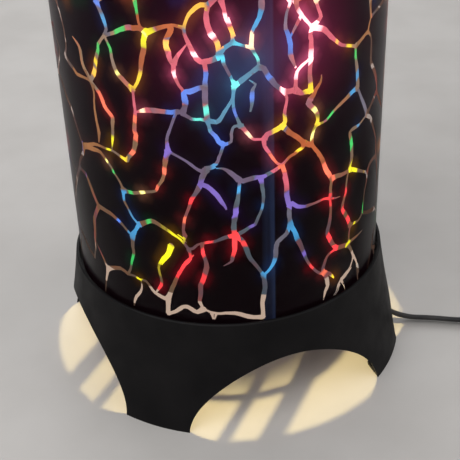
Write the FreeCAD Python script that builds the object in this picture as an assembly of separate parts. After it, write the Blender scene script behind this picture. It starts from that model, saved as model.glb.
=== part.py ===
import FreeCAD, Part
import math
import os

# A motion lamp on four legs: warm air from the bulb turns an inner drum of coloured film
# inside a printed outer shade. Millimetres, +Z up, the origin on the table under the axis.
# The arches of the base face +X, -X, +Y and -Y, and the cord leaves through the +X arch.

V = FreeCAD.Vector
ORIGIN = V(0, 0, 0)
UP = V(0, 0, 1)
ALONG_X = V(1, 0, 0)
ALONG_Y = V(0, 1, 0)

# Outer shade: a rolled film with a lapped seam.
SHADE_RADIUS = 75.0
SHADE_FILM = 0.5
SHADE_TOP = 316.0
SEAM_WIDTH = 7.5
SEAM_FILM = 0.4
SEAM_BEARING = -96.0
SHADE_FIT = 0.3

# Base skirt, moulded, with a hollow flare.
FOOT_RADIUS = 88.0
BASE_HEIGHT = 55.0
FLARE_HOLLOW = 0.9
SKIRT_WALL = 2.6
RIM_WALL = 1.3
RIM_ROUND = 0.5
RIM_DEPTH = 4.0
RIM_STEP = 1.8
TOE_WIDTH = 6.0
TOE_HEIGHT = 2.5
LEDGE_WIDTH = 4.5
LEDGE_THICKNESS = 2.5
DECK_SEAT = 44.0

# Arched openings between the four legs.
ARCH_COUNT = 4
ARCH_HALF_WIDTH = 49.3
ARCH_HEIGHT = 35.9
ARCH_SIDE_LEAN = 2.8
ARCH_SIDE_RISE = 16.0
ARCH_CROWN_REACH = 22.0

# Vent deck: bars that run between two opposite legs, a ring and a hub.
DECK_THICKNESS = 3.5
DECK_FIT = 0.4
DECK_RIM_WIDTH = 4.6
DECK_BEARING = 45.0
HUB_RADIUS = 26.0
RING_RADIUS = 46.6
RING_WIDTH = 2.2
INNER_BAR_OFFSET = 22.3
INNER_BAR_WIDTH = 3.6
OUTER_BAR_OFFSET = 35.0
OUTER_BAR_WIDTH = 6.6

# Screws.
SCREW_RADIUS = 1.5
SCREW_HEAD_RADIUS = 2.9
SCREW_HEAD_HEIGHT = 1.8
SCREW_FIT = 0.05
DECK_LUG_RADIUS = 4.6
DECK_LUG_CIRCLE = 66.0
DECK_SCREW_BITE = 2.6

# Threaded tube, riser and nut on the axis.
NIPPLE_RADIUS = 5.0
NIPPLE_BORE = 3.6
NIPPLE_FIT = 0.1
NIPPLE_BELOW = 4.6
NUT_HEIGHT = 3.0
NUT_ACROSS_FLATS = 14.0
WASHER_RADIUS = 8.5
WASHER_THICKNESS = 0.8
RISER_RADIUS = 7.0
RISER_LENGTH = 17.5

# Lampholder.
CAP_RADIUS = 17.5
CAP_HEIGHT = 12.5
CAP_WALL = 1.2
HOLDER_HEIGHT = 36.0
HOLDER_FLOOR = 8.0
SHELL_RADIUS = 13.9
SHELL_WALL = 0.4
SHELL_HEIGHT = 25.0
SHELL_FIT = 0.1
CONTACT_RADIUS = 4.0
CONTACT_HEIGHT = 2.2
TERMINAL_BEARING = 90.0
TERMINAL_CIRCLE = 10.5
TERMINAL_RADIUS = 2.2
TERMINAL_HEIGHT = 1.6

# Bulb, with a 26 mm screw cap.
BULB_CAP_RADIUS = 13.2
BULB_CAP_WALL = 0.3
BULB_CAP_HEIGHT = 21.0
BULB_TIP_HEIGHT = 4.0
BULB_TIP_RADIUS = 4.6
BULB_SHOULDER_RADIUS = 10.5
BULB_NECK_RADIUS = 12.4
BULB_RADIUS = 30.0
BULB_LENGTH = 108.0
BULB_GLASS = 0.8
BULB_NECK_HEIGHT = 27.0
BULB_NECK_PULL = 13.0
BULB_ROUND_PULL = 14.0
BULB_ROUND_START = 30.0
BULB_FIT = 0.3
STEM_RADIUS = 5.0
STEM_HEIGHT = 46.0
STEM_TOP_RADIUS = 2.0
FILAMENT_RADIUS = 12.0
FILAMENT_WIRE = 0.5
FILAMENT_HEIGHT = 78.5

# Wire frame over the bulb, with the needle that carries the drum.
BAIL_BEARING = 45.0
BAIL_HALF_WIDTH = 36.0
BAIL_WIRE = 1.1
BAIL_SADDLE_WIDTH = 10.0
BAIL_SADDLE_THICKNESS = 1.5
BAIL_EYE_RADIUS = 9.5
BAIL_SOCKET_RADIUS = 2.4
BAIL_SOCKET_HEIGHT = 11.0
NEEDLE_COLLAR_RADIUS = 2.4
NEEDLE_COLLAR_HEIGHT = 5.0
NEEDLE_RADIUS = 0.9
NEEDLE_LENGTH = 8.0
NEEDLE_POINT = 2.2
WIRE_FIT = 0.05

# Inner drum: film sleeve, lower hoop, and a fan with pitched vanes on a bearing cup.
DRUM_RADIUS = 67.0
DRUM_FILM = 0.4
DRUM_BOTTOM = 49.5
DRUM_RECESS = 16.0
HOOP_HEIGHT = 3.0
HOOP_WALL = 1.0
FAN_RIM_HEIGHT = 11.0
FAN_RIM_WALL = 1.6
FAN_HUB_RADIUS = 12.0
FAN_HUB_HEIGHT = 3.0
FAN_VANES = 12
VANE_PITCH = 26.0
VANE_THICKNESS = 0.8
VANE_ROOT = 6.0
VANE_TIP = 21.0
CUP_RADIUS = 3.4
CUP_ROOF = 2.4
CUP_DEPTH = 5.0
CUP_FLANGE_RADIUS = 5.0
CUP_FLANGE_HEIGHT = 1.2
PIVOT_FIT = 0.3

# Vented top cap.
CAP_SKIRT_DEPTH = 8.0
TOP_CAP_WALL = 2.0
TOP_CAP_SHOULDER = 6.0
TOP_CAP_RISE = 7.7
TOP_CAP_EDGE = 2.0
TOP_CAP_FLAT = 12.0
COLLAR_WALL = 1.6
COLLAR_DEPTH = 6.0
VENT_COUNT = 24
VENT_INNER = 28.0
VENT_OUTER = 62.0
VENT_WIDTH = 5.0

# Flat twin cord: the tube is as wide as the cord, and lies on the table.
CORD_WIDTH = 5.2
CORD_RADIUS = CORD_WIDTH / 2
CORD_BEARING = -24.3
CORD_INSIDE_HEIGHT = 29.0
CORD_BEND = 10.0
CORD_EXIT = 40.0
WIRE_RADIUS = 1.1
WIRE_SPREAD = 1.3
CORD_FIT = 0.05

# Cord clamp under the hub, and the tapered sleeve beside it.
CLAMP_REACH = 13.0
CLAMP_HALF_SPAN = 9.5
CLAMP_POST_RADIUS = 3.4
CLAMP_BAR_WIDTH = 8.0
CLAMP_BAR_THICKNESS = 3.0
CLAMP_BITE = 8.0
CLAMP_RIB_WIDTH = 6.0
CLAMP_FIT = 0.1
RELIEF_RADIUS = 5.2
RELIEF_END_RADIUS = 3.6

# Switch in the cord.
SWITCH_INLET_X = 147.0
SWITCH_Y = -60.0
SWITCH_LENGTH = 58.0
SWITCH_WIDTH = 23.0
SWITCH_HEIGHT = 16.0
SWITCH_SPLIT = 6.5
SWITCH_WALL = 1.8
SWITCH_CORNER = 7.0
SWITCH_TOP_ROUND = 2.4
SWITCH_BOTTOM_ROUND = 1.2
ROCKER_LENGTH = 15.0
ROCKER_WIDTH = 9.0
ROCKER_PROUD = 1.6
ROCKER_DEPTH = 5.0
ROCKER_TILT = 9.0
ROCKER_GAP = 0.4
ROCKER_END_GAP = 0.9
ROCKER_PIVOT_DEPTH = 3.0
PIVOT_RADIUS = 1.0
PIVOT_CLEARANCE = 0.06
LUG_THICKNESS = 1.6
LUG_HALF_LENGTH = 3.0
LUG_BELOW = 2.2
SWITCH_SCREW_X = 20.0
SWITCH_SCREW_Y = 7.0
SWITCH_SCREW_RADIUS = 1.1
SWITCH_SCREW_HEAD = 2.1
SWITCH_SCREW_SINK = 1.4
SWITCH_BOSS_RADIUS = 2.8
SWITCH_CONTACT_LENGTH = 24.0
SWITCH_CONTACT_WIDTH = 4.0
SWITCH_CONTACT_THICKNESS = 0.6
SWITCH_CORD_HOLD = 1.2

# Mains plug with two flat blades.
PLUG_AXIS_HEIGHT = 6.5
PLUG_LENGTH = 26.0
PLUG_WIDTH = 25.0
PLUG_REAR_WIDTH = 9.0
PLUG_REAR_HEIGHT = 8.4
PLUG_NECK = 9.0
PLUG_NECK_WIDTH = 13.0
PLUG_NECK_HEIGHT = 10.0
PLUG_CORNER = 3.0
BLADE_SPACING = 12.7
BLADE_WIDTH = 6.3
BLADE_THICKNESS = 1.5
BLADE_LENGTH = 16.5
BLADE_ROOT = 5.0

# The cord where it isn't coiled, its corners chosen by hand: from the clamp sleeve to the switch.
LEAD_CORNERS = [
    V(50.5, -22.8, 29.0),
    V(63.0, -28.4, 22.0),
    V(71.2, -32.1, 9.6),
    V(83.7, -38.0, 2.6),
    V(96.6, -44.4, 2.7),
    V(108.8, -52.2, 2.6),
    V(121.6, -57.6, 3.2),
    V(134.6, -60.0, 6.5),
]
# From the switch to the coil.
LINK_CORNERS = [
    V(215.0, -60.0, 6.5),
    V(227.0, -60.0, 2.6),
    V(239.4, -60.0, 2.6),
]
# From the coil to the plug, across the table from where the coil ends.
TAIL_CORNERS = [
    V(-0.8, 25.8, 6.0),
    V(-4.0, 38.6, 3.4),
    V(-9.2, 50.2, 4.2),
    V(-16.0, 61.2, 6.5),
    V(-23.0, 72.0, 6.5),
]
TAIL_FIRST_RUN = 12.8
# The put away length: a flat coil of two layers, wound in and out again.
COIL_TURNS = 8.25
COIL_INNER_RADIUS = 17.5
COIL_STEP = 5.85
COIL_SMOOTH = 0.12
COIL_MEASURE_STEPS = 12

DECK_TOP = DECK_SEAT + DECK_THICKNESS
RIM_RADIUS = SHADE_RADIUS + SHADE_FIT + RIM_WALL
GROOVE_RADIUS = SHADE_RADIUS + SHADE_FIT
STEP_RADIUS = GROOVE_RADIUS - RIM_STEP
SHADE_SEAT = BASE_HEIGHT - RIM_DEPTH
SHADE_BOTTOM = SHADE_SEAT + SHADE_FIT
RISER_TOP = DECK_TOP + RISER_LENGTH
CAP_BOTTOM = RISER_TOP + BAIL_SADDLE_THICKNESS
HOLDER_BOTTOM = CAP_BOTTOM + CAP_HEIGHT
HOLDER_TOP = HOLDER_BOTTOM + HOLDER_HEIGHT
CONTACT_BOTTOM = HOLDER_BOTTOM + HOLDER_FLOOR
BULB_BOTTOM = CONTACT_BOTTOM + CONTACT_HEIGHT + BULB_FIT
CLAMP_TOP = CORD_INSIDE_HEIGHT - CORD_RADIUS - CLAMP_FIT
SWITCH_MIDDLE_X = SWITCH_INLET_X + SWITCH_LENGTH / 2
PIVOT_HEIGHT = SWITCH_HEIGHT - ROCKER_PIVOT_DEPTH
DRUM_TOP = SHADE_TOP - DRUM_RECESS
FAN_HUB_BOTTOM = DRUM_TOP - FAN_RIM_HEIGHT / 2 - FAN_HUB_HEIGHT / 2
CUP_TOP = FAN_HUB_BOTTOM + FAN_HUB_HEIGHT + CUP_FLANGE_HEIGHT
NEEDLE_TIP = CUP_TOP - CUP_ROOF - PIVOT_FIT


def direction(bearing):
    """A level direction, its angle counted from +X towards +Y."""
    angle = math.radians(bearing)
    return V(math.cos(angle), math.sin(angle), 0)


def turned(shape, bearing):
    copy = shape.copy()
    copy.rotate(ORIGIN, UP, bearing)
    return copy


def disc(radius, bottom, top, at=ORIGIN):
    return Part.makeCylinder(radius, top - bottom, V(at.x, at.y, bottom), UP)


def ring(inner, outer, bottom, top, at=ORIGIN):
    return disc(outer, bottom, top, at).cut(disc(inner, bottom - 1, top + 1, at))


def block(x0, x1, y0, y1, z0, z1):
    return Part.makeBox(x1 - x0, y1 - y0, z1 - z0, V(x0, y0, z0))


def line(a, b):
    return Part.LineSegment(a, b).toShape()


def arc(a, b, c):
    return Part.Arc(a, b, c).toShape()


def chain(points):
    return [line(a, b) for a, b in zip(points, points[1:])]


def curve(poles):
    bezier = Part.BezierCurve()
    bezier.setPoles(poles)
    return bezier.toShape()


def revolved(edges):
    """A closed outline of edges in the XZ plane, turned about the axis of the lamp."""
    return Part.Face(Part.Wire(edges)).revolve(ORIGIN, UP, 360)


def extruded(edges, reach):
    return Part.Face(Part.Wire(edges)).extrude(reach)


def rounded_box(x0, x1, y0, y1, z0, z1, radius):
    """A box with its four upright edges rounded."""
    box = block(x0, x1, y0, y1, z0, z1)
    upright = [e for e in box.Edges if abs(e.tangentAt(e.FirstParameter).z) > 0.9]
    return box.makeFillet(radius, upright)


def edges_at(shape, height):
    """The edges that lie at one height."""
    return [e for e in shape.Edges if abs(e.BoundBox.ZMin - height) < 0.01 and e.BoundBox.ZLength < 0.01]


def pan_screw(foot, up_length, radius, head_radius, head_height):
    """A screw that points up, with its domed head below foot."""
    edge = head_height / 3
    low = foot.z - head_height
    outline = chain(
        [
            V(0, 0, low),
            V(head_radius - edge, 0, low),
            V(head_radius, 0, low + edge),
            V(head_radius, 0, foot.z),
            V(radius, 0, foot.z),
            V(radius, 0, foot.z + up_length),
            V(0, 0, foot.z + up_length),
            V(0, 0, low),
        ]
    )
    screw = revolved(outline)
    screw.translate(V(foot.x, foot.y, 0))
    return screw


def flare_radius(height):
    """The outer radius of the skirt: a straight flare, hollowed a little at its middle."""
    share = height / BASE_HEIGHT
    straight = FOOT_RADIUS + (RIM_RADIUS - FOOT_RADIUS) * share
    return straight - 4 * FLARE_HOLLOW * share * (1 - share)


def flare_arc(low, high, inset):
    heights = [low, (low + high) / 2, high]
    return arc(*[V(flare_radius(z) - inset, 0, z) for z in heights])


def arch_cutter():
    """The outline of one arch, half by half, through the skirt on the -Y side."""
    crown = V(0, 0, ARCH_HEIGHT)
    reach = ARCH_HALF_WIDTH - ARCH_SIDE_LEAN
    right = curve(
        [
            V(ARCH_HALF_WIDTH, 0, 0),
            V(reach, 0, ARCH_SIDE_RISE),
            V(ARCH_CROWN_REACH, 0, ARCH_HEIGHT),
            crown,
        ]
    )
    left = curve(
        [
            crown,
            V(-ARCH_CROWN_REACH, 0, ARCH_HEIGHT),
            V(-reach, 0, ARCH_SIDE_RISE),
            V(-ARCH_HALF_WIDTH, 0, 0),
        ]
    )
    below = -1.0
    foot = chain(
        [
            V(-ARCH_HALF_WIDTH, 0, 0),
            V(-ARCH_HALF_WIDTH, 0, below),
            V(ARCH_HALF_WIDTH, 0, below),
            V(ARCH_HALF_WIDTH, 0, 0),
        ]
    )
    return extruded([right, left] + foot, V(0, -FOOT_RADIUS * 1.2, 0))


def deck_lug_places():
    return [direction(DECK_BEARING + 90 * i) * DECK_LUG_CIRCLE for i in range(4)]


def base_shell():
    ledge_radius = STEP_RADIUS - LEDGE_WIDTH
    ledge_bottom = DECK_SEAT - LEDGE_THICKNESS
    toe_inner = FOOT_RADIUS - SKIRT_WALL - TOE_WIDTH
    outline = [flare_arc(0, BASE_HEIGHT - RIM_ROUND, 0)]
    outline += chain(
        [
            V(flare_radius(BASE_HEIGHT - RIM_ROUND), 0, BASE_HEIGHT - RIM_ROUND),
            V(RIM_RADIUS - RIM_ROUND, 0, BASE_HEIGHT),
            V(GROOVE_RADIUS, 0, BASE_HEIGHT),
            V(GROOVE_RADIUS, 0, SHADE_SEAT),
            V(STEP_RADIUS, 0, SHADE_SEAT),
            V(STEP_RADIUS, 0, DECK_SEAT),
            V(ledge_radius, 0, DECK_SEAT),
            V(ledge_radius, 0, ledge_bottom),
            V(flare_radius(ledge_bottom) - SKIRT_WALL, 0, ledge_bottom),
        ]
    )
    outline.append(flare_arc(ledge_bottom, TOE_HEIGHT, SKIRT_WALL))
    outline += chain(
        [
            V(flare_radius(TOE_HEIGHT) - SKIRT_WALL, 0, TOE_HEIGHT),
            V(toe_inner, 0, TOE_HEIGHT),
            V(toe_inner, 0, 0),
            V(FOOT_RADIUS, 0, 0),
        ]
    )
    shell = revolved(outline)
    for place in deck_lug_places():
        shell = shell.fuse(disc(DECK_LUG_RADIUS, ledge_bottom, DECK_SEAT, place))
    cutter = arch_cutter()
    for i in range(ARCH_COUNT):
        shell = shell.cut(turned(cutter, 360 / ARCH_COUNT * i))
    for place in deck_lug_places():
        shell = shell.cut(disc(SCREW_RADIUS + SCREW_FIT, ledge_bottom - 1, DECK_SEAT + 1, place))
    return shell.removeSplitter()


def clamp_places():
    """The two screws of the cord clamp, one each side of the cord."""
    middle = direction(CORD_BEARING) * CLAMP_REACH
    side = direction(CORD_BEARING + 90) * CLAMP_HALF_SPAN
    return [middle + side, middle - side]


def vent_deck():
    outer = STEP_RADIUS - DECK_FIT
    rim_inner = outer - DECK_RIM_WIDTH
    low, high = DECK_SEAT, DECK_TOP
    deck = ring(rim_inner, outer, low, high)
    deck = deck.fuse(ring(RING_RADIUS - RING_WIDTH, RING_RADIUS, low, high))
    deck = deck.fuse(disc(HUB_RADIUS, low, high))
    inside = disc(outer - DECK_RIM_WIDTH / 2, low, high)
    within_ring = disc(RING_RADIUS, low, high)
    for side in (1, -1):
        for offset, width in (
            (INNER_BAR_OFFSET, INNER_BAR_WIDTH),
            (OUTER_BAR_OFFSET, OUTER_BAR_WIDTH),
        ):
            edges = sorted([side * offset, side * (offset + width)])
            bar = block(-outer, outer, edges[0], edges[1], low, high)
            deck = deck.fuse(bar.common(inside))
        edges = sorted([side * OUTER_BAR_OFFSET, side * outer])
        segment = block(-outer, outer, edges[0], edges[1], low, high)
        deck = deck.fuse(segment.common(within_ring))
    deck = turned(deck, DECK_BEARING)
    for place in deck_lug_places():
        deck = deck.fuse(disc(DECK_LUG_RADIUS, low, high, place))
        deck = deck.cut(disc(SCREW_RADIUS + SCREW_FIT, low - 1, low + DECK_SCREW_BITE, place))
    for place in clamp_places():
        deck = deck.fuse(disc(CLAMP_POST_RADIUS, CLAMP_TOP, low, place))
        deck = deck.cut(disc(SCREW_RADIUS + SCREW_FIT, CLAMP_TOP - 1, CLAMP_TOP + CLAMP_BITE, place))
    cord_top = CORD_INSIDE_HEIGHT + CORD_RADIUS + CLAMP_FIT
    half_rib = CLAMP_RIB_WIDTH / 2
    rib = block(
        CLAMP_REACH - half_rib,
        CLAMP_REACH + half_rib,
        -CLAMP_HALF_SPAN + SCREW_RADIUS + 1,
        CLAMP_HALF_SPAN - SCREW_RADIUS - 1,
        cord_top,
        low,
    )
    deck = deck.fuse(turned(rib, CORD_BEARING))
    deck = deck.cut(disc(NIPPLE_RADIUS + NIPPLE_FIT, low - 1, high + 1))
    return deck.removeSplitter()


def deck_screws():
    under = DECK_SEAT - LEDGE_THICKNESS
    bite = LEDGE_THICKNESS + DECK_SCREW_BITE - SCREW_FIT
    return [
        pan_screw(V(p.x, p.y, under), bite, SCREW_RADIUS, SCREW_HEAD_RADIUS, SCREW_HEAD_HEIGHT)
        for p in deck_lug_places()
    ]


def cord_clamp_bar():
    half_width = CLAMP_BAR_WIDTH / 2
    half_span = CLAMP_HALF_SPAN + half_width
    bar = rounded_box(
        CLAMP_REACH - half_width,
        CLAMP_REACH + half_width,
        -half_span,
        half_span,
        CLAMP_TOP - CLAMP_BAR_THICKNESS,
        CLAMP_TOP,
        half_width * 0.95,
    )
    bar = turned(bar, CORD_BEARING)
    for place in clamp_places():
        bar = bar.cut(disc(SCREW_RADIUS + SCREW_FIT, 0, DECK_SEAT, place))
    return bar


def clamp_screws():
    under = CLAMP_TOP - CLAMP_BAR_THICKNESS
    bite = CLAMP_BAR_THICKNESS + CLAMP_BITE - SCREW_FIT
    return [
        pan_screw(V(p.x, p.y, under), bite, SCREW_RADIUS, SCREW_HEAD_RADIUS, SCREW_HEAD_HEIGHT)
        for p in clamp_places()
    ]


def along_cord(shape):
    """Moves a shape made about the +Z axis onto the level cord under the hub."""
    shape.rotate(ORIGIN, ALONG_Y, 90)
    shape.translate(V(0, 0, CORD_INSIDE_HEIGHT))
    return turned(shape, CORD_BEARING)


def strain_relief():
    start = CLAMP_REACH + CLAMP_BAR_WIDTH / 2
    bore = CORD_RADIUS + CORD_FIT
    collar = start + 3
    outline = chain(
        [
            V(bore, 0, start),
            V(RELIEF_RADIUS, 0, start),
            V(RELIEF_RADIUS, 0, collar),
            V(RELIEF_RADIUS - 0.8, 0, collar + 0.6),
            V(RELIEF_END_RADIUS, 0, CORD_EXIT),
            V(bore, 0, CORD_EXIT),
            V(bore, 0, start),
        ]
    )
    return along_cord(revolved(outline))


def inner_cord():
    """Down through the nipple, round the bend and out along the clamp, held all the way."""
    top = CAP_BOTTOM + CAP_WALL + NUT_HEIGHT
    bend_top = CORD_INSIDE_HEIGHT + CORD_BEND
    corner = 1 - math.sqrt(0.5)
    path = Part.Wire(
        [
            line(V(0, 0, top), V(0, 0, bend_top)),
            arc(
                V(0, 0, bend_top),
                V(CORD_BEND * corner, 0, bend_top - CORD_BEND * math.sqrt(0.5)),
                V(CORD_BEND, 0, CORD_INSIDE_HEIGHT),
            ),
            line(V(CORD_BEND, 0, CORD_INSIDE_HEIGHT), V(CORD_EXIT, 0, CORD_INSIDE_HEIGHT)),
        ]
    )
    section = Part.Wire(Part.makeCircle(CORD_RADIUS, V(0, 0, top), UP))
    return turned(path.makePipeShell([section], True, False), CORD_BEARING)


def lead_wires():
    """Two single wires from the end of the cord up to the terminal screws."""
    low = CAP_BOTTOM + CAP_WALL + NUT_HEIGHT
    wires = []
    for side in (1, -1):
        start = V(side * WIRE_SPREAD, 0, low)
        knee = V(side * WIRE_SPREAD, 0, low + 1.5)
        bend = V(side * TERMINAL_CIRCLE, 0, low + 4.0)
        end = V(side * TERMINAL_CIRCLE, 0, HOLDER_BOTTOM - TERMINAL_HEIGHT)
        wires.append(turned(tube([start, knee, bend, end], WIRE_RADIUS, False), TERMINAL_BEARING))
    return wires


def terminal_screws():
    screws = []
    for side in (1, -1):
        place = direction(TERMINAL_BEARING) * (side * TERMINAL_CIRCLE)
        screws.append(disc(TERMINAL_RADIUS, HOLDER_BOTTOM - TERMINAL_HEIGHT, HOLDER_BOTTOM, place))
    return screws


def nipple_tube():
    return ring(NIPPLE_BORE, NIPPLE_RADIUS, DECK_SEAT - NIPPLE_BELOW, CAP_BOTTOM + CAP_WALL + NUT_HEIGHT)


def nut(bottom):
    corner = NUT_ACROSS_FLATS / math.sqrt(3)
    corners = [direction(60 * i) * corner + V(0, 0, bottom) for i in range(7)]
    body = extruded(chain(corners), V(0, 0, NUT_HEIGHT))
    return body.cut(disc(NIPPLE_RADIUS + NIPPLE_FIT, bottom - 1, bottom + NUT_HEIGHT + 1))


def nipple_nuts():
    return [nut(DECK_SEAT - WASHER_THICKNESS - NUT_HEIGHT), nut(CAP_BOTTOM + CAP_WALL)]


def nipple_washer():
    return ring(NIPPLE_RADIUS + NIPPLE_FIT, WASHER_RADIUS, DECK_SEAT - WASHER_THICKNESS, DECK_SEAT)


def riser_tube():
    return ring(NIPPLE_RADIUS + NIPPLE_FIT, RISER_RADIUS, DECK_TOP, RISER_TOP)


def holder_cap():
    high = HOLDER_BOTTOM
    cap = disc(CAP_RADIUS, CAP_BOTTOM, high)
    cap = cap.makeFillet(CAP_WALL, edges_at(cap, CAP_BOTTOM))
    cap = cap.cut(disc(CAP_RADIUS - CAP_WALL, CAP_BOTTOM + CAP_WALL, high + 1))
    return cap.cut(disc(NIPPLE_RADIUS + NIPPLE_FIT, CAP_BOTTOM - 1, high))


def holder_body():
    body = disc(CAP_RADIUS, HOLDER_BOTTOM, HOLDER_TOP)
    body = body.makeFillet(CAP_WALL, edges_at(body, HOLDER_TOP))
    return body.cut(disc(SHELL_RADIUS + SHELL_FIT, CONTACT_BOTTOM, HOLDER_TOP + 1))


def screw_shell():
    return ring(SHELL_RADIUS - SHELL_WALL, SHELL_RADIUS, CONTACT_BOTTOM, CONTACT_BOTTOM + SHELL_HEIGHT)


def centre_contact():
    button = disc(CONTACT_RADIUS, CONTACT_BOTTOM, CONTACT_BOTTOM + CONTACT_HEIGHT)
    return button.makeFillet(CONTACT_HEIGHT / 3, edges_at(button, CONTACT_BOTTOM + CONTACT_HEIGHT))


def bulb_cap():
    low = BULB_BOTTOM + BULB_TIP_HEIGHT
    return ring(BULB_CAP_RADIUS - BULB_CAP_WALL, BULB_CAP_RADIUS, low, low + BULB_CAP_HEIGHT)


def bulb_contact():
    """The insulating cone under the cap, with the contact at its tip."""
    high = BULB_BOTTOM + BULB_TIP_HEIGHT
    outer = BULB_CAP_RADIUS - BULB_CAP_WALL - SHELL_FIT
    outline = chain(
        [
            V(0, 0, BULB_BOTTOM),
            V(BULB_TIP_RADIUS, 0, BULB_BOTTOM),
            V(BULB_TIP_RADIUS, 0, BULB_BOTTOM + 1),
            V(BULB_SHOULDER_RADIUS, 0, high),
            V(outer, 0, high),
            V(outer, 0, high + 2),
            V(0, 0, high + 2),
            V(0, 0, BULB_BOTTOM),
        ]
    )
    return revolved(outline)


def bulb_profile(inset):
    """The outline of the glass from its neck to its crown, and the height of its foot."""
    low = BULB_BOTTOM + BULB_TIP_HEIGHT + 2 + inset
    neck_top = BULB_BOTTOM + BULB_NECK_HEIGHT
    middle = BULB_BOTTOM + BULB_LENGTH - BULB_RADIUS
    radius = BULB_RADIUS - inset
    neck = BULB_NECK_RADIUS - inset
    start = math.radians(BULB_ROUND_START)
    meet = V(radius * math.cos(start), 0, middle - radius * math.sin(start))
    slope = V(math.sin(start), 0, math.cos(start))
    crown = V(0, 0, middle + radius)
    edges = chain([V(0, 0, low), V(neck, 0, low), V(neck, 0, neck_top)])
    edges.append(
        curve(
            [
                V(neck, 0, neck_top),
                V(neck, 0, neck_top + BULB_NECK_PULL),
                meet - slope * BULB_ROUND_PULL,
                meet,
            ]
        )
    )
    edges.append(arc(meet, V(radius, 0, middle), V(0, 0, middle + radius)))
    edges.append(line(crown, V(0, 0, low)))
    return edges


def bulb_glass():
    return revolved(bulb_profile(0)).cut(revolved(bulb_profile(BULB_GLASS)))


def bulb_stem():
    low = BULB_BOTTOM + BULB_TIP_HEIGHT + 2 + BULB_GLASS
    high = BULB_BOTTOM + STEM_HEIGHT
    return Part.makeCone(STEM_RADIUS, STEM_TOP_RADIUS, high - low, V(0, 0, low), UP)


def bulb_filament():
    """A bent filament on two support wires that stand on the stem."""
    height = BULB_BOTTOM + FILAMENT_HEIGHT
    low = V(STEM_TOP_RADIUS - FILAMENT_WIRE, 0, BULB_BOTTOM + STEM_HEIGHT)
    knee = V(FILAMENT_RADIUS * 0.4, 0, BULB_BOTTOM + STEM_HEIGHT + 14)
    top = V(FILAMENT_RADIUS, 0, height)
    peak = V(0, 0, height + FILAMENT_RADIUS * 0.5)
    route = [low, knee, top, peak, V(-top.x, 0, top.z), V(-knee.x, 0, knee.z), V(-low.x, 0, low.z)]
    return tube(route, FILAMENT_WIRE, False)


def bail_saddle():
    """A strip under the lampholder with a socket at each end for the wire frame."""
    half = BAIL_SADDLE_WIDTH / 2
    reach = BAIL_HALF_WIDTH + half
    strip = rounded_box(-reach, reach, -half, half, RISER_TOP, CAP_BOTTOM, half * 0.95)
    strip = strip.fuse(disc(BAIL_EYE_RADIUS, RISER_TOP, CAP_BOTTOM))
    for side in (1, -1):
        place = V(side * BAIL_HALF_WIDTH, 0, 0)
        strip = strip.fuse(disc(BAIL_SOCKET_RADIUS, CAP_BOTTOM, CAP_BOTTOM + BAIL_SOCKET_HEIGHT, place))
        bore = disc(BAIL_WIRE + WIRE_FIT, CAP_BOTTOM, CAP_BOTTOM + BAIL_SOCKET_HEIGHT + 1, place)
        strip = strip.cut(bore)
    strip = strip.cut(disc(NIPPLE_RADIUS + NIPPLE_FIT, RISER_TOP - 1, CAP_BOTTOM + 1))
    return turned(strip.removeSplitter(), BAIL_BEARING)


def bail_top():
    return NEEDLE_TIP - NEEDLE_LENGTH - BAIL_WIRE


def bail_path():
    shoulder = bail_top() - BAIL_HALF_WIDTH
    left, right = V(-BAIL_HALF_WIDTH, 0, shoulder), V(BAIL_HALF_WIDTH, 0, shoulder)
    foot = V(0, 0, CAP_BOTTOM - shoulder)
    edges = [line(left + foot, left), arc(left, V(0, 0, bail_top()), right), line(right, right + foot)]
    return Part.Wire(edges)


def bail_wire(radius=BAIL_WIRE):
    section = Part.Wire(Part.makeCircle(radius, V(-BAIL_HALF_WIDTH, 0, CAP_BOTTOM), UP))
    return turned(bail_path().makePipeShell([section], True, False), BAIL_BEARING)


def pivot_needle():
    """A collar pressed on the top of the wire frame, and the pointed needle on it."""
    collar_low = bail_top() - NEEDLE_COLLAR_HEIGHT / 2
    collar_high = bail_top() + NEEDLE_COLLAR_HEIGHT / 2
    point = NEEDLE_TIP - NEEDLE_POINT
    outline = chain(
        [
            V(0, 0, collar_low),
            V(NEEDLE_COLLAR_RADIUS, 0, collar_low),
            V(NEEDLE_COLLAR_RADIUS, 0, collar_high),
            V(NEEDLE_RADIUS, 0, collar_high),
            V(NEEDLE_RADIUS, 0, point),
            V(0, 0, NEEDLE_TIP),
            V(0, 0, collar_low),
        ]
    )
    return revolved(outline).cut(bail_wire(BAIL_WIRE + WIRE_FIT))


def drum_sleeve():
    return ring(DRUM_RADIUS - DRUM_FILM, DRUM_RADIUS, DRUM_BOTTOM, DRUM_TOP)


def drum_hoop():
    outer = DRUM_RADIUS - DRUM_FILM
    return ring(outer - HOOP_WALL, outer, DRUM_BOTTOM, DRUM_BOTTOM + HOOP_HEIGHT)


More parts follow.
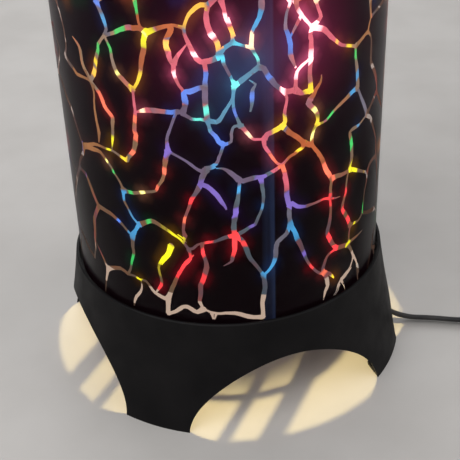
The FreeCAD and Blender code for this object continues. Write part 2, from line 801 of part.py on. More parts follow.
def drum_fan():
    """The turbine: pitched vanes between a hub and a rim, as they are cut and twisted."""
    outer = DRUM_RADIUS - DRUM_FILM
    rim_inner = outer - FAN_RIM_WALL
    low = DRUM_TOP - FAN_RIM_HEIGHT
    middle = DRUM_TOP - FAN_RIM_HEIGHT / 2
    fan = ring(rim_inner, outer, low, DRUM_TOP)
    fan = fan.fuse(disc(FAN_HUB_RADIUS, FAN_HUB_BOTTOM, FAN_HUB_BOTTOM + FAN_HUB_HEIGHT))
    root, tip = FAN_HUB_RADIUS - 1, outer
    blade = extruded(
        chain(
            [
                V(root, -VANE_ROOT / 2, 0),
                V(tip, -VANE_TIP / 2, 0),
                V(tip, VANE_TIP / 2, 0),
                V(root, VANE_ROOT / 2, 0),
                V(root, -VANE_ROOT / 2, 0),
            ]
        ),
        V(0, 0, VANE_THICKNESS),
    )
    blade.translate(V(0, 0, -VANE_THICKNESS / 2))
    blade.rotate(ORIGIN, ALONG_X, VANE_PITCH)
    blade.translate(V(0, 0, middle))
    blade = blade.common(disc(outer - FAN_RIM_WALL / 2, low, DRUM_TOP))
    fan = fan.multiFuse([turned(blade, 360 / FAN_VANES * i) for i in range(FAN_VANES)])
    return fan.cut(disc(CUP_RADIUS, low - 1, DRUM_TOP + 1)).removeSplitter()


def drum_cup():
    """An upturned cup that hangs the drum on the needle's point."""
    low = CUP_TOP - CUP_ROOF - CUP_DEPTH
    roof = CUP_TOP - CUP_ROOF
    bore = NEEDLE_RADIUS + PIVOT_FIT
    flange = FAN_HUB_BOTTOM + FAN_HUB_HEIGHT
    outline = chain(
        [
            V(0, 0, roof),
            V(bore, 0, roof - NEEDLE_POINT),
            V(bore, 0, low),
            V(CUP_RADIUS, 0, low),
            V(CUP_RADIUS, 0, flange),
            V(CUP_FLANGE_RADIUS, 0, flange),
            V(CUP_FLANGE_RADIUS, 0, CUP_TOP),
            V(0, 0, CUP_TOP),
            V(0, 0, roof),
        ]
    )
    return revolved(outline)


def shade_film():
    inner = SHADE_RADIUS - SHADE_FILM
    film = ring(inner, SHADE_RADIUS, SHADE_BOTTOM, SHADE_TOP)
    lap = ring(inner - SEAM_FILM, inner + SHADE_FILM / 2, SHADE_BOTTOM, SHADE_TOP)
    half = SEAM_WIDTH / 2
    window = turned(block(0, SHADE_RADIUS, -half, half, SHADE_BOTTOM, SHADE_TOP), SEAM_BEARING)
    return film.fuse(lap.common(window)).removeSplitter()


def dome_arc(edge, flat):
    """A shallow arc that rises from the edge of the cap to the rim of its flat middle."""
    half_way = math.hypot(edge.x, flat.x) * math.sqrt(0.5)
    return arc(edge, V(half_way, 0, (edge.z + flat.z) / 2), flat)


def top_cap():
    """A vented cap: a groove takes the top edge of the shade, slots let the warm air out."""
    skirt_low = SHADE_TOP - CAP_SKIRT_DEPTH
    seat = SHADE_TOP + SHADE_FIT
    shoulder = seat + TOP_CAP_SHOULDER
    crown = shoulder + TOP_CAP_RISE
    collar_outer = SHADE_RADIUS - SHADE_FILM - SEAM_FILM - SHADE_FIT
    collar_inner = collar_outer - COLLAR_WALL
    collar_low = SHADE_TOP - COLLAR_DEPTH
    top_edge = RIM_RADIUS - TOP_CAP_EDGE
    outline = chain(
        [
            V(RIM_RADIUS, 0, skirt_low),
            V(RIM_RADIUS, 0, shoulder - TOP_CAP_EDGE),
            V(top_edge, 0, shoulder),
        ]
    )
    flat, thick = V(TOP_CAP_FLAT, 0, crown), V(0, 0, TOP_CAP_WALL)
    outline.append(dome_arc(V(top_edge, 0, shoulder), flat))
    outline += chain([flat, V(0, 0, crown), V(0, 0, crown) - thick, flat - thick])
    under = V(collar_inner, 0, shoulder) - thick
    outline.append(dome_arc(under, flat - thick))
    outline += chain(
        [
            under,
            V(collar_inner, 0, collar_low),
            V(collar_outer, 0, collar_low),
            V(collar_outer, 0, seat),
            V(GROOVE_RADIUS, 0, seat),
            V(GROOVE_RADIUS, 0, skirt_low),
            V(RIM_RADIUS, 0, skirt_low),
        ]
    )
    cap = revolved(outline)
    half = VENT_WIDTH / 2
    slot = block(VENT_INNER, VENT_OUTER, -half, half, seat, crown)
    slot = slot.fuse(disc(half, seat, crown, V(VENT_OUTER, 0, 0)))
    slot = slot.fuse(disc(half, seat, crown, V(VENT_INNER, 0, 0))).removeSplitter()
    slots = [turned(slot, 360 / VENT_COUNT * i) for i in range(VENT_COUNT)]
    return cap.cut(slots)


def tube_path(points):
    """Straight runs joined by tangent arcs, each as large as its two runs allow."""
    edges = []
    radii = []
    start = points[0]
    for before, corner, after in zip(points, points[1:], points[2:]):
        inward, outward = (corner - before), (after - corner)
        shorter = min(inward.Length, outward.Length)
        inward.normalize()
        outward.normalize()
        half_turn = inward.getAngle(outward) / 2
        setback = 0.45 * shorter
        radius = setback / math.tan(half_turn)
        first, last = corner - inward * setback, corner + outward * setback
        to_centre = outward - inward
        to_centre.normalize()
        centre = corner + to_centre * (radius / math.cos(half_turn))
        edges.append(line(start, first))
        edges.append(arc(first, centre - to_centre * radius, last))
        radii.append(radius)
        start = last
    edges.append(line(start, points[-1]))
    return Part.Wire(edges), radii


def swept(path, heading, radius):
    section = Part.Wire(Part.makeCircle(radius, path.Vertexes[0].Point, heading))
    return path.makePipeShell([section], True, False)


def tube(points, radius, told=True):
    path, radii = tube_path(points)
    body = swept(path, points[1] - points[0], radius)
    if told:
        share = round(body.Volume / (math.pi * radius**2 * path.Length), 4)
        print("cord radii", [round(r, 1) for r in radii], "length", round(path.Length, 1), "volume", share)
    return body


def biarc(start, heading, end, leaving):
    """Two tangent arcs from one point and heading to another."""
    chord = end - start
    both = heading + leaving
    spread = 2 * (1 - heading.dot(leaving))
    along = chord.dot(both)
    reach = (-along + math.sqrt(along**2 + spread * chord.dot(chord))) / spread
    meet = (start + heading * reach + end - leaving * reach) * 0.5
    return [bent(start, heading, meet), bent(end, leaving * -1, meet)]


def bent(start, heading, end):
    """One arc that leaves start along heading and reaches end."""
    chord = end - start
    half = heading.getAngle(chord)
    bisector = heading + chord * (1 / chord.Length)
    bisector.normalize()
    return arc(start, start + bisector * (chord.Length / 2 / math.cos(half / 2)), end)


def coil_point(turn):
    """A point of the coil's line and its heading, turn counted from the start."""
    from_middle = turn - COIL_TURNS / 2
    reach = math.hypot(from_middle, COIL_SMOOTH)
    radius = COIL_INNER_RADIUS + COIL_STEP * reach
    climb = min(1.0, max(0.0, from_middle * 2 + 0.5))
    height = CORD_RADIUS + COIL_STEP * climb * climb * (3 - 2 * climb)
    out = direction(-90 + 360 * turn)
    ahead = V(-out.y, out.x, 0)
    heading = ahead * (2 * math.pi * radius)
    if 0 < turn < COIL_TURNS:
        heading = heading + out * (COIL_STEP * from_middle / reach)
        heading = heading + UP * (COIL_STEP * 12 * climb * (1 - climb))
    heading.normalize()
    return out * radius + V(0, 0, height), heading


def coil_middle():
    outermost = COIL_INNER_RADIUS + COIL_STEP * math.hypot(COIL_TURNS / 2, COIL_SMOOTH)
    last = LINK_CORNERS[-1]
    return V(last.x + CORD_WIDTH, last.y + outermost, 0)


def coil_end():
    last, heading = coil_point(COIL_TURNS)
    return coil_middle() + last + heading * CORD_WIDTH


def lead_route():
    clamped = direction(CORD_BEARING) * CORD_EXIT + V(0, 0, CORD_INSIDE_HEIGHT)
    inlet = V(SWITCH_INLET_X + SWITCH_CORD_HOLD, SWITCH_Y, SWITCH_SPLIT)
    return [clamped] + LEAD_CORNERS + [inlet]


def link_route():
    outlet = V(SWITCH_INLET_X + SWITCH_LENGTH - SWITCH_CORD_HOLD, SWITCH_Y, SWITCH_SPLIT)
    return [outlet] + LINK_CORNERS


def tail_route():
    start = coil_end()
    across = V(start.x, start.y, 0)
    return [start, start + V(0, TAIL_FIRST_RUN, 0)] + [across + p for p in TAIL_CORNERS]


def coil_gap():
    """The least gap of the coil to itself, on points of its own line."""
    count = int(COIL_TURNS * 4 * COIL_MEASURE_STEPS)
    points = [coil_point(COIL_TURNS * i / count)[0] for i in range(count + 1)]
    apart = COIL_MEASURE_STEPS * 2
    least = min(
        (points[i] - points[j]).Length for i in range(count + 1) for j in range(i + apart, count + 1)
    )
    return least - CORD_WIDTH


def cord_coil():
    quarters = int(round(COIL_TURNS * 4))
    knots = [coil_point(i / 4) for i in range(quarters + 1)]
    first, first_heading = knots[0]
    last, last_heading = knots[-1]
    edges = [line(first - first_heading * CORD_WIDTH, first)]
    for (a, heading), (b, leaving) in zip(knots, knots[1:]):
        edges += biarc(a, heading, b, leaving)
    edges.append(line(last, last + last_heading * CORD_WIDTH))
    path = Part.Wire(edges)
    path.translate(coil_middle())
    body = swept(path, first_heading, CORD_RADIUS)
    share = round(body.Volume / (math.pi * CORD_RADIUS**2 * path.Length), 4)
    print("coil length", round(path.Length, 1), "volume", share, "least gap", round(coil_gap(), 2))
    return body


def switch_outline(low, high):
    half = SWITCH_WIDTH / 2
    return rounded_box(
        SWITCH_INLET_X,
        SWITCH_INLET_X + SWITCH_LENGTH,
        SWITCH_Y - half,
        SWITCH_Y + half,
        low,
        high,
        SWITCH_CORNER,
    )


def switch_hollow(low, high):
    half = SWITCH_WIDTH / 2 - SWITCH_WALL
    return rounded_box(
        SWITCH_INLET_X + SWITCH_WALL,
        SWITCH_INLET_X + SWITCH_LENGTH - SWITCH_WALL,
        SWITCH_Y - half,
        SWITCH_Y + half,
        low,
        high,
        SWITCH_CORNER - SWITCH_WALL,
    )


def switch_cord_way():
    start = V(SWITCH_INLET_X - 1, SWITCH_Y, SWITCH_SPLIT)
    return Part.makeCylinder(CORD_RADIUS + CORD_FIT, SWITCH_LENGTH + 2, start, ALONG_X)


def switch_screw_places():
    return [
        V(SWITCH_MIDDLE_X - SWITCH_SCREW_X, SWITCH_Y + SWITCH_SCREW_Y, 0),
        V(SWITCH_MIDDLE_X + SWITCH_SCREW_X, SWITCH_Y - SWITCH_SCREW_Y, 0),
    ]


def switch_base():
    body = switch_outline(0, SWITCH_SPLIT)
    body = body.makeFillet(SWITCH_BOTTOM_ROUND, edges_at(body, 0))
    body = body.cut(switch_hollow(SWITCH_WALL, SWITCH_SPLIT + 1))
    for place in switch_screw_places():
        body = body.fuse(disc(SWITCH_BOSS_RADIUS, SWITCH_WALL / 2, SWITCH_SPLIT, place))
    body = body.cut(switch_cord_way())
    for place in switch_screw_places():
        body = body.cut(disc(SWITCH_SCREW_RADIUS + SCREW_FIT, -1, SWITCH_SPLIT + 1, place))
        body = body.cut(disc(SWITCH_SCREW_HEAD + SCREW_FIT, -1, SWITCH_SCREW_SINK, place))
    return body.removeSplitter()


def switch_cover():
    body = switch_outline(SWITCH_SPLIT, SWITCH_HEIGHT)
    body = body.makeFillet(SWITCH_TOP_ROUND, edges_at(body, SWITCH_HEIGHT))
    body = body.cut(switch_hollow(SWITCH_SPLIT - 1, SWITCH_HEIGHT - SWITCH_WALL))
    for place in switch_screw_places():
        body = body.fuse(disc(SWITCH_BOSS_RADIUS, SWITCH_SPLIT, SWITCH_HEIGHT - SWITCH_WALL / 2, place))
    inner = ROCKER_WIDTH / 2 + ROCKER_GAP
    for side in (1, -1):
        edges = sorted([SWITCH_Y + side * inner, SWITCH_Y + side * (inner + LUG_THICKNESS)])
        lug = block(
            SWITCH_MIDDLE_X - LUG_HALF_LENGTH,
            SWITCH_MIDDLE_X + LUG_HALF_LENGTH,
            edges[0],
            edges[1],
            PIVOT_HEIGHT - LUG_BELOW,
            SWITCH_HEIGHT - SWITCH_WALL / 2,
        )
        body = body.fuse(lug)
    half = ROCKER_LENGTH / 2 + ROCKER_END_GAP
    body = body.cut(
        block(
            SWITCH_MIDDLE_X - half,
            SWITCH_MIDDLE_X + half,
            SWITCH_Y - inner,
            SWITCH_Y + inner,
            SWITCH_SPLIT,
            SWITCH_HEIGHT + 1,
        )
    )
    body = body.cut(switch_cord_way())
    body = body.cut(rocker_pins(PIVOT_RADIUS + PIVOT_CLEARANCE, 1))
    for place in switch_screw_places():
        bore = disc(SWITCH_SCREW_RADIUS + SCREW_FIT, SWITCH_SPLIT - 1, SWITCH_HEIGHT - SWITCH_WALL, place)
        body = body.cut(bore)
    return body.removeSplitter()


def rocker_pins(radius, more=0):
    half = ROCKER_WIDTH / 2 + ROCKER_GAP + LUG_THICKNESS * 0.9 + more
    start = V(SWITCH_MIDDLE_X, SWITCH_Y - half, PIVOT_HEIGHT)
    return Part.makeCylinder(radius, 2 * half, start, ALONG_Y)


def switch_rocker():
    """A rocker with two raised ends, tilted to its on position about its pins."""
    half = ROCKER_LENGTH / 2
    top = SWITCH_HEIGHT + ROCKER_PROUD
    waist = SWITCH_HEIGHT + ROCKER_PROUD * 0.2
    foot = PIVOT_HEIGHT - ROCKER_DEPTH / 2
    x, y = SWITCH_MIDDLE_X, SWITCH_Y - ROCKER_WIDTH / 2
    narrow = half - 1.5
    outline = [
        line(V(x - narrow, y, foot), V(x - half, y, SWITCH_HEIGHT)),
        line(V(x - half, y, SWITCH_HEIGHT), V(x - half, y, top)),
        arc(V(x - half, y, top), V(x, y, waist), V(x + half, y, top)),
        line(V(x + half, y, top), V(x + half, y, SWITCH_HEIGHT)),
        line(V(x + half, y, SWITCH_HEIGHT), V(x + narrow, y, foot)),
        line(V(x + narrow, y, foot), V(x - narrow, y, foot)),
    ]
    rocker = extruded(outline, V(0, ROCKER_WIDTH, 0)).fuse(rocker_pins(PIVOT_RADIUS))
    rocker.rotate(V(x, SWITCH_Y, PIVOT_HEIGHT), ALONG_Y, ROCKER_TILT)
    return rocker.removeSplitter()


def switch_screws():
    bite = SWITCH_HEIGHT - SWITCH_WALL - SWITCH_SCREW_SINK - 1
    return [
        pan_screw(
            V(p.x, p.y, SWITCH_SCREW_SINK),
            bite,
            SWITCH_SCREW_RADIUS,
            SWITCH_SCREW_HEAD,
            SWITCH_SCREW_SINK - 0.3,
        )
        for p in switch_screw_places()
    ]


def switch_contact():
    """A bowed contact strip on the floor of the switch, under the rocker."""
    half = SWITCH_CONTACT_LENGTH / 2
    width = SWITCH_CONTACT_WIDTH / 2
    x, y, z = SWITCH_MIDDLE_X, SWITCH_Y - width, SWITCH_WALL
    t = SWITCH_CONTACT_THICKNESS
    rise = 3.0
    outline = [
        arc(V(x - half, y, z), V(x, y, z + rise), V(x + half, y, z)),
        line(V(x + half, y, z), V(x + half, y, z + t)),
        arc(V(x + half, y, z + t), V(x, y, z + rise + t), V(x - half, y, z + t)),
        line(V(x - half, y, z + t), V(x - half, y, z)),
    ]
    return extruded(outline, V(0, SWITCH_CONTACT_WIDTH, 0))


def plug_section(at, width, height, corner):
    """A rounded rectangle across the plug's axis, as a wire."""
    w, h = width / 2 - corner, height / 2 - corner
    k = corner * math.sqrt(0.5)
    edges = []
    for sy, sz in ((1, 1), (-1, 1), (-1, -1), (1, -1)):
        middle = V(at, sy * w, sz * h)
        first, last = V(0, sy * corner, 0), V(0, 0, sz * corner)
        if sy * sz < 0:
            first, last = last, first
        edges.append((middle + first, middle + V(0, sy * k, sz * k), middle + last))
    wire = []
    for (a, b, c), (d, _, _) in zip(edges, edges[1:] + edges[:1]):
        wire += [arc(a, b, c), line(c, d)]
    return Part.Wire(wire)


def plug_placed(shape):
    """Moves a shape made along +X from the origin to the end of the cord's route."""
    before, last = tail_route()[-2:]
    shape.rotate(ORIGIN, UP, math.degrees(math.atan2(last.y - before.y, last.x - before.x)))
    shape.translate(last)
    return shape


def plug_body():
    full = PLUG_AXIS_HEIGHT * 2
    sections = [
        plug_section(0, PLUG_REAR_WIDTH, PLUG_REAR_HEIGHT, PLUG_CORNER),
        plug_section(PLUG_NECK, PLUG_NECK_WIDTH, PLUG_NECK_HEIGHT, PLUG_CORNER),
        plug_section(PLUG_NECK * 1.8, PLUG_WIDTH, full, PLUG_CORNER),
        plug_section(PLUG_LENGTH, PLUG_WIDTH, full, PLUG_CORNER),
    ]
    body = Part.makeLoft(sections, True, True)
    for side in (1, -1):
        body = body.cut(blade(side, SCREW_FIT))
    return plug_placed(body)


def blade(side, more=0.0):
    """One flat blade with its slanted tip, standing in the plug's front face."""
    y = side * BLADE_SPACING / 2 - BLADE_THICKNESS / 2 - more
    half = BLADE_WIDTH / 2 + more
    tip = PLUG_LENGTH + BLADE_LENGTH
    outline = chain(
        [
            V(PLUG_LENGTH - BLADE_ROOT, y, -half),
            V(tip - 1.5, y, -half),
            V(tip, y, -half + 1.5),
            V(tip, y, half - 1.5),
            V(tip - 1.5, y, half),
            V(PLUG_LENGTH - BLADE_ROOT, y, half),
            V(PLUG_LENGTH - BLADE_ROOT, y, -half),
        ]
    )
    return extruded(outline, V(0, BLADE_THICKNESS + 2 * more, 0))


def plug_blades():
    return [plug_placed(blade(side)) for side in (1, -1)]


PARTS = {
    "base_shell": base_shell,
    "vent_deck": vent_deck,
    "deck_screws": deck_screws,
    "cord_clamp_bar": cord_clamp_bar,
    "clamp_screws": clamp_screws,
    "strain_relief": strain_relief,
    "inner_cord": inner_cord,
    "lead_wires": lead_wires,
    "nipple_tube": nipple_tube,
    "nipple_nuts": nipple_nuts,
    "nipple_washer": nipple_washer,
    "riser_tube": riser_tube,
    "holder_cap": holder_cap,
    "holder_body": holder_body,
    "screw_shell": screw_shell,
    "centre_contact": centre_contact,
    "terminal_screws": terminal_screws,
    "bulb_cap": bulb_cap,
    "bulb_contact": bulb_contact,
    "bulb_glass": bulb_glass,
    "bulb_stem": bulb_stem,
    "bulb_filament": bulb_filament,
    "bail_saddle": bail_saddle,
    "bail_wire": bail_wire,
    "pivot_needle": pivot_needle,
    "drum_sleeve": drum_sleeve,
    "drum_hoop": drum_hoop,
    "drum_fan": drum_fan,
    "drum_cup": drum_cup,
    "shade_film": shade_film,
    "top_cap": top_cap,
    "cord_lead": lambda: tube(lead_route(), CORD_RADIUS),
    "cord_link": lambda: tube(link_route(), CORD_RADIUS),
    "cord_coil": cord_coil,
    "cord_tail": lambda: tube(tail_route(), CORD_RADIUS),
    "switch_base": switch_base,
    "switch_cover": switch_cover,
    "switch_rocker": switch_rocker,
    "switch_contact": switch_contact,
    "switch_screws": switch_screws,
    "plug_body": plug_body,
    "plug_blades": plug_blades,
}


def write_parts():
    os.makedirs("parts", exist_ok=True)
    for name, make in PARTS.items():
        made = make()
        shape = Part.makeCompound(made) if isinstance(made, list) else made
        solids = shape.Solids
        print(name, len(solids), round(sum(s.Volume for s in solids), 1), shape.isValid())
        shape.exportStep("parts/" + name + ".step")


write_parts()
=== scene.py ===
import math
import random
from collections import Counter

import bmesh
import bpy
import numpy
from mathutils import Matrix, Vector
from mathutils.geometry import convex_hull_2d, delaunay_2d_cdt


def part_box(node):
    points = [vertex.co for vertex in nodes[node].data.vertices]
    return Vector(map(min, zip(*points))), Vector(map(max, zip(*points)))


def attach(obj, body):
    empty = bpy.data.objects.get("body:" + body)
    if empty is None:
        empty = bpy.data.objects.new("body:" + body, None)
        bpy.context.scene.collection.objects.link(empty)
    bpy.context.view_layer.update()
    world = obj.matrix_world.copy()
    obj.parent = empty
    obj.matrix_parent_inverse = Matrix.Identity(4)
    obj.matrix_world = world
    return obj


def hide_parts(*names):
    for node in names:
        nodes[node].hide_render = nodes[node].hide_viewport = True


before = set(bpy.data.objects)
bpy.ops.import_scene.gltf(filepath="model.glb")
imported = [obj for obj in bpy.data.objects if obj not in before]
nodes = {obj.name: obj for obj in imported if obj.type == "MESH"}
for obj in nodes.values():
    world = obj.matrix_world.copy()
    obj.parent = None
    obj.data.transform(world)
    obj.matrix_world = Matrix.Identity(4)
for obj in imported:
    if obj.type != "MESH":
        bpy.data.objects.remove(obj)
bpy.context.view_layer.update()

MM = 0.001

# The camera, in the frame of the part: its place in millimetres and where it looks, in degrees.
CAMERA_PLACE = Vector((-144.72, -395.46, 320.02))
CAMERA_BEARING = 69.75
CAMERA_DIP = 32.01
CAMERA_ROLL = -2.12
CAMERA_LENS = 76.58
CAMERA_SENSOR = 36.0
CAMERA_NEAR = 0.01
CAMERA_FAR = 50
PICTURE = 460
LENS_PIXELS = CAMERA_LENS / CAMERA_SENSOR * PICTURE

# The shade, the drum and the bulb, in millimetres, as the frame has them.
shade_low, shade_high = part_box("shade_film")
_, drum_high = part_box("drum_sleeve")
_, bulb_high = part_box("bulb_glass")
SHADE_RADIUS = shade_high.x / MM
SHADE_BOTTOM = shade_low.z / MM
SHADE_TOP = shade_high.z / MM
DRUM_RADIUS = drum_high.x / MM
DRUM_TOP = drum_high.z / MM
BULB_RADIUS = bulb_high.x / MM
BULB_MIDDLE = bulb_high.z / MM - BULB_RADIUS

# The shade's seam: its bearing in degrees and its lap in millimetres. Its milky haze, which has
# a painted bluish glow, starts just outside the lap, thin, and is full and then ends a little
# inside the lap's other edge, in degrees.
SEAM_BEARING = -96.0
SEAM_WIDTH = 7.5
SEAM_START = 0.3
SEAM_FULL = 1.8
SEAM_END = (1.6, 1.4)
SEAM_THIN = 0.2
SEAM_STREAK = 2.2
SEAM_MILK = 0.035
# The colour and strength of the seam's painted bluish glow.
SEAM_SHEEN = (0.20, 0.34, 0.80)
SEAM_GLOW = 0.9

# The black print on the inside of the shade, and its cracks.
PRINT_INSET = 0.97
PRINT_RADIUS = SHADE_RADIUS - PRINT_INSET
PRINT_FILM = 0.12
PRINT_FRONT = -110.1
PRINT_MARGIN = 0.6
PRINT_GRAIN = 3.3
PRINT_SPARE = 9.0
PRINT_WELD = 0.002
PRINT_TRIM = 0.0005
PRINT_HALF = math.pi * PRINT_RADIUS
CRACK_WIDTH = 1.75
CRACK_SWELL = 0.32
CRACK_SWELL_STEP = 7.0
CRACK_FLARES = (1.15, 1.6)
CRACK_FLARE_REACH = 2.8
CRACK_HUB = 0.85
CRACK_TIP = 0.35
CRACK_TIP_REACH = 6.0
CRACK_ROUNDING = 2
CRACK_TEAR = 0.13

# What the picture shows of a round wall: a strip this many pixels above it counts as well, and
# nothing farther round from the front than this many degrees.
SEEN_ABOVE = 8
SEEN_ROUND = 80

# The cracks of the rest of the shade. They follow the edges of scattered cells and keep clear of
# the shade's own edges. Joins lead the picture's cracks on to them, and stubs end loose.
PRINT_SEED = 11
CELL_WIDTH = 21.0
CELL_HEIGHT = 25.0
CELL_SCATTER = 0.36
CELL_ROWS_OVER = 3
CELL_ROW_START = 0.75
CELL_WELD = 0.001
SPARE_SHARE = 0.93
SPARE_SHORTEST = 2.0
SPARE_LOW = SHADE_BOTTOM + 4
SPARE_HIGH = SHADE_TOP - 3
SPARE_OVER = 6.0
JOIN_RISE = 8.0
JOIN_ROUND = 72
JOIN_REACH = 24.0
STUB_SHARE = 0.16
STUB_MARGIN = 8.0
STUB_TURN = 0.8
STUB_LENGTHS = (5, 9)
WAVER_STEP = 4
WAVER_BEND = 0.10
WAVER_ASIDE = 0.05

# The flat twin cord, in millimetres: the points repeat the part's route. A tilt is the turn of
# the cord's flat side in degrees.
CORD_WIDTH = 5.2
CORD_CORE = CORD_WIDTH / 4
CORD_ARC = 240
CORD_ARC_POINTS = 9
CORD_LINE_STEPS = 6
CORD_LINE_ORDER = 3
LEAD_TILTS = [0, 0, -37, -37, -37, -20, 0]
LEAD_POINTS = [
    (36.45, -16.46, 29.0),
    (50.5, -22.8, 29.0),
    (63.0, -28.4, 22.0),
    (71.2, -32.1, 9.6),
    (83.7, -38.0, 2.6),
    (96.6, -44.4, 2.7),
    (108.8, -52.2, 2.6),
    (121.6, -57.6, 3.2),
    (134.6, -60.0, 6.5),
    (148.2, -60.0, 6.5),
]
LINK_TILTS = [0, -45, -90]
LINK_POINTS = [
    (203.8, -60.0, 6.5),
    (215.0, -60.0, 6.5),
    (227.0, -60.0, 2.6),
    (239.4, -60.0, 2.6),
]
COIL_TILTS = [-90, -90]
COIL_MIDDLE = (244.6, -18.36)
COIL_TURNS = 8.25
COIL_INNER_RADIUS = 17.5
COIL_STEP = 5.85
COIL_SMOOTH = 0.12
COIL_POINTS_A_TURN = 12
COIL_STRAIGHT_END = 5.2
COIL_START = -90
COIL_CLIMB_TURNS = 0.5
TAIL_TILTS = [-90, -60, -20, 0, 0]
TAIL_POINTS = [
    (286.24, -13.16, 8.45),
    (286.24, -0.36, 8.45),
    (285.44, 12.64, 6.0),
    (282.24, 25.44, 3.4),
    (277.04, 37.04, 4.2),
    (270.24, 48.04, 6.5),
    (263.24, 58.84, 6.5),
]


def metres(point):
    return Vector(point) * MM


def direction(bearing, dip=0.0):
    turn, tip = math.radians(bearing), math.radians(dip)
    return Vector((math.cos(turn) * math.cos(tip), math.sin(turn) * math.cos(tip), -math.sin(tip)))


# The camera's own axes: right, up and ahead.
AHEAD = direction(CAMERA_BEARING, CAMERA_DIP)
LEVEL = AHEAD.cross(Vector((0, 0, 1))).normalized()
RIGHT = (Matrix.Rotation(math.radians(-CAMERA_ROLL), 3, AHEAD) @ LEVEL).normalized()
UPRIGHT = RIGHT.cross(AHEAD)


def put_in_scene(name, data):
    made = bpy.data.objects.new(name, data)
    bpy.context.scene.collection.objects.link(made)
    return made


def make_camera():
    camera = put_in_scene("camera", bpy.data.cameras.new("camera"))
    camera.data.lens = CAMERA_LENS
    camera.data.sensor_width = CAMERA_SENSOR
    camera.data.clip_start = CAMERA_NEAR
    camera.data.clip_end = CAMERA_FAR
    axes = Matrix((RIGHT, UPRIGHT, -AHEAD)).transposed()
    camera.matrix_world = Matrix.Translation(metres(CAMERA_PLACE)) @ axes.to_4x4()
    bpy.context.scene.camera = camera


def mesh_piece(name, shape, body, finishes):
    """A finished piece from a bmesh in metres, riding on a body of the part."""
    mesh = bpy.data.meshes.new(name)
    shape.to_mesh(mesh)
    shape.free()
    for face in mesh.polygons:
        face.use_smooth = True
    for finish in finishes:
        mesh.materials.append(finish)
    piece = put_in_scene(name, mesh)
    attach(piece, body)
    return piece


# Materials: small parts of node trees first, then the finishes made of them.


def feed(tree, socket, value):
    """A socket takes a plain number, a plain colour or what another node gives."""
    if isinstance(value, bpy.types.NodeSocket):
        tree.links.new(value, socket)
    elif socket.type == "RGBA":
        socket.default_value = (*value, 1)
    else:
        socket.default_value = value


def add(tree, kind, sockets=(), **settings):
    """A new node, with its settings and what its sockets take."""
    made = tree.nodes.new(kind)
    for key, value in settings.items():
        setattr(made, key, value)
    for key, value in dict(sockets).items():
        feed(tree, made.inputs[key], value)
    return made


def calculate(tree, operation, *values):
    made = add(tree, "ShaderNodeMath", dict(enumerate(values)), operation=operation)
    return made.outputs["Value"]


def noise(tree, grain, stretch=(1, 1, 1), detail=4.0):
    """A noise whose grains are this many millimetres across, on the piece's own coordinates."""
    place = add(tree, "ShaderNodeTexCoord").outputs["Object"]
    stretched = add(tree, "ShaderNodeMapping", {"Vector": place, "Scale": stretch}).outputs["Vector"]
    sockets = {"Scale": 1 / (grain * MM), "Detail": detail, "Vector": stretched}
    return add(tree, "ShaderNodeTexNoise", sockets).outputs["Fac"]


def spread(tree, value, low, high, to_low=0.0, to_high=1.0):
    """A value that goes from to_low to to_high while another one goes from low to high."""
    sockets = {"Value": value, "From Min": low, "From Max": high, "To Min": to_low, "To Max": to_high}
    return add(tree, "ShaderNodeMapRange", sockets, clamp=True).outputs["Result"]


def varied(tree, grain, to_low=0.0, to_high=1.0, cut=(0.3, 0.7), **look):
    """A value that changes from place to place, by a noise whose ends are cut off."""
    return spread(tree, noise(tree, grain, **look), *cut, to_low, to_high)


def wander(tree, grain, reach, detail=0.0):
    """A value that strays to both sides of nothing."""
    stray = calculate(tree, "SUBTRACT", noise(tree, grain, detail=detail), 0.5)
    return calculate(tree, "MULTIPLY", stray, reach)


def mix_colours(tree, share, first, second):
    made = add(tree, "ShaderNodeMix", {"Factor": share}, data_type="RGBA")
    ends = [socket for socket in made.inputs if socket.type == "RGBA"]
    for socket, colour in zip(ends, (first, second)):
        feed(tree, socket, colour)
    return next(socket for socket in made.outputs if socket.type == "RGBA")


def mix_shaders(tree, share, first, second):
    return add(tree, "ShaderNodeMixShader", {"Fac": share, 1: first, 2: second}).outputs["Shader"]


def light_of(tree, colour, strength):
    sockets = {"Color": colour, "Strength": strength}
    return add(tree, "ShaderNodeEmission", sockets).outputs["Emission"]


def clear_stuff(tree, tint=(1, 1, 1)):
    return add(tree, "ShaderNodeBsdfTransparent", {"Color": tint}).outputs["BSDF"]


def lit_haze(tree, tint, colour, share, strength):
    """Clear stuff with a thin haze, whose glow from the light inside the lamp is painted."""
    return mix_shaders(tree, share, clear_stuff(tree, tint), light_of(tree, colour, strength))


def roughen(tree, shader, value, depth):
    """Bump from a value, its full depth in millimetres."""
    made = add(tree, "ShaderNodeBump", {"Height": value, "Distance": depth * MM})
    feed(tree, shader.inputs["Normal"], made.outputs["Normal"])


def bearing_of(tree):
    """The angle round the lamp's axis in degrees, and the height in millimetres."""
    place = add(tree, "ShaderNodeTexCoord").outputs["Object"]
    split = add(tree, "ShaderNodeSeparateXYZ", {"Vector": place}).outputs
    turn = calculate(tree, "ARCTAN2", split["Y"], split["X"])
    return calculate(tree, "DEGREES", turn), calculate(tree, "DIVIDE", split["Z"], MM)


def by_bulb(tree, height, reach, beside, far):
    """A painted-glow mask: a value that changes with the height above or below the bulb's brightest place."""
    away = calculate(tree, "ABSOLUTE", calculate(tree, "SUBTRACT", height, GLOW_HEIGHT))
    return spread(tree, away, *reach, beside, far)


def piece_value(tree, name):
    """A value that the piece holds at each of its points."""
    return add(tree, "ShaderNodeAttribute", attribute_name=name).outputs


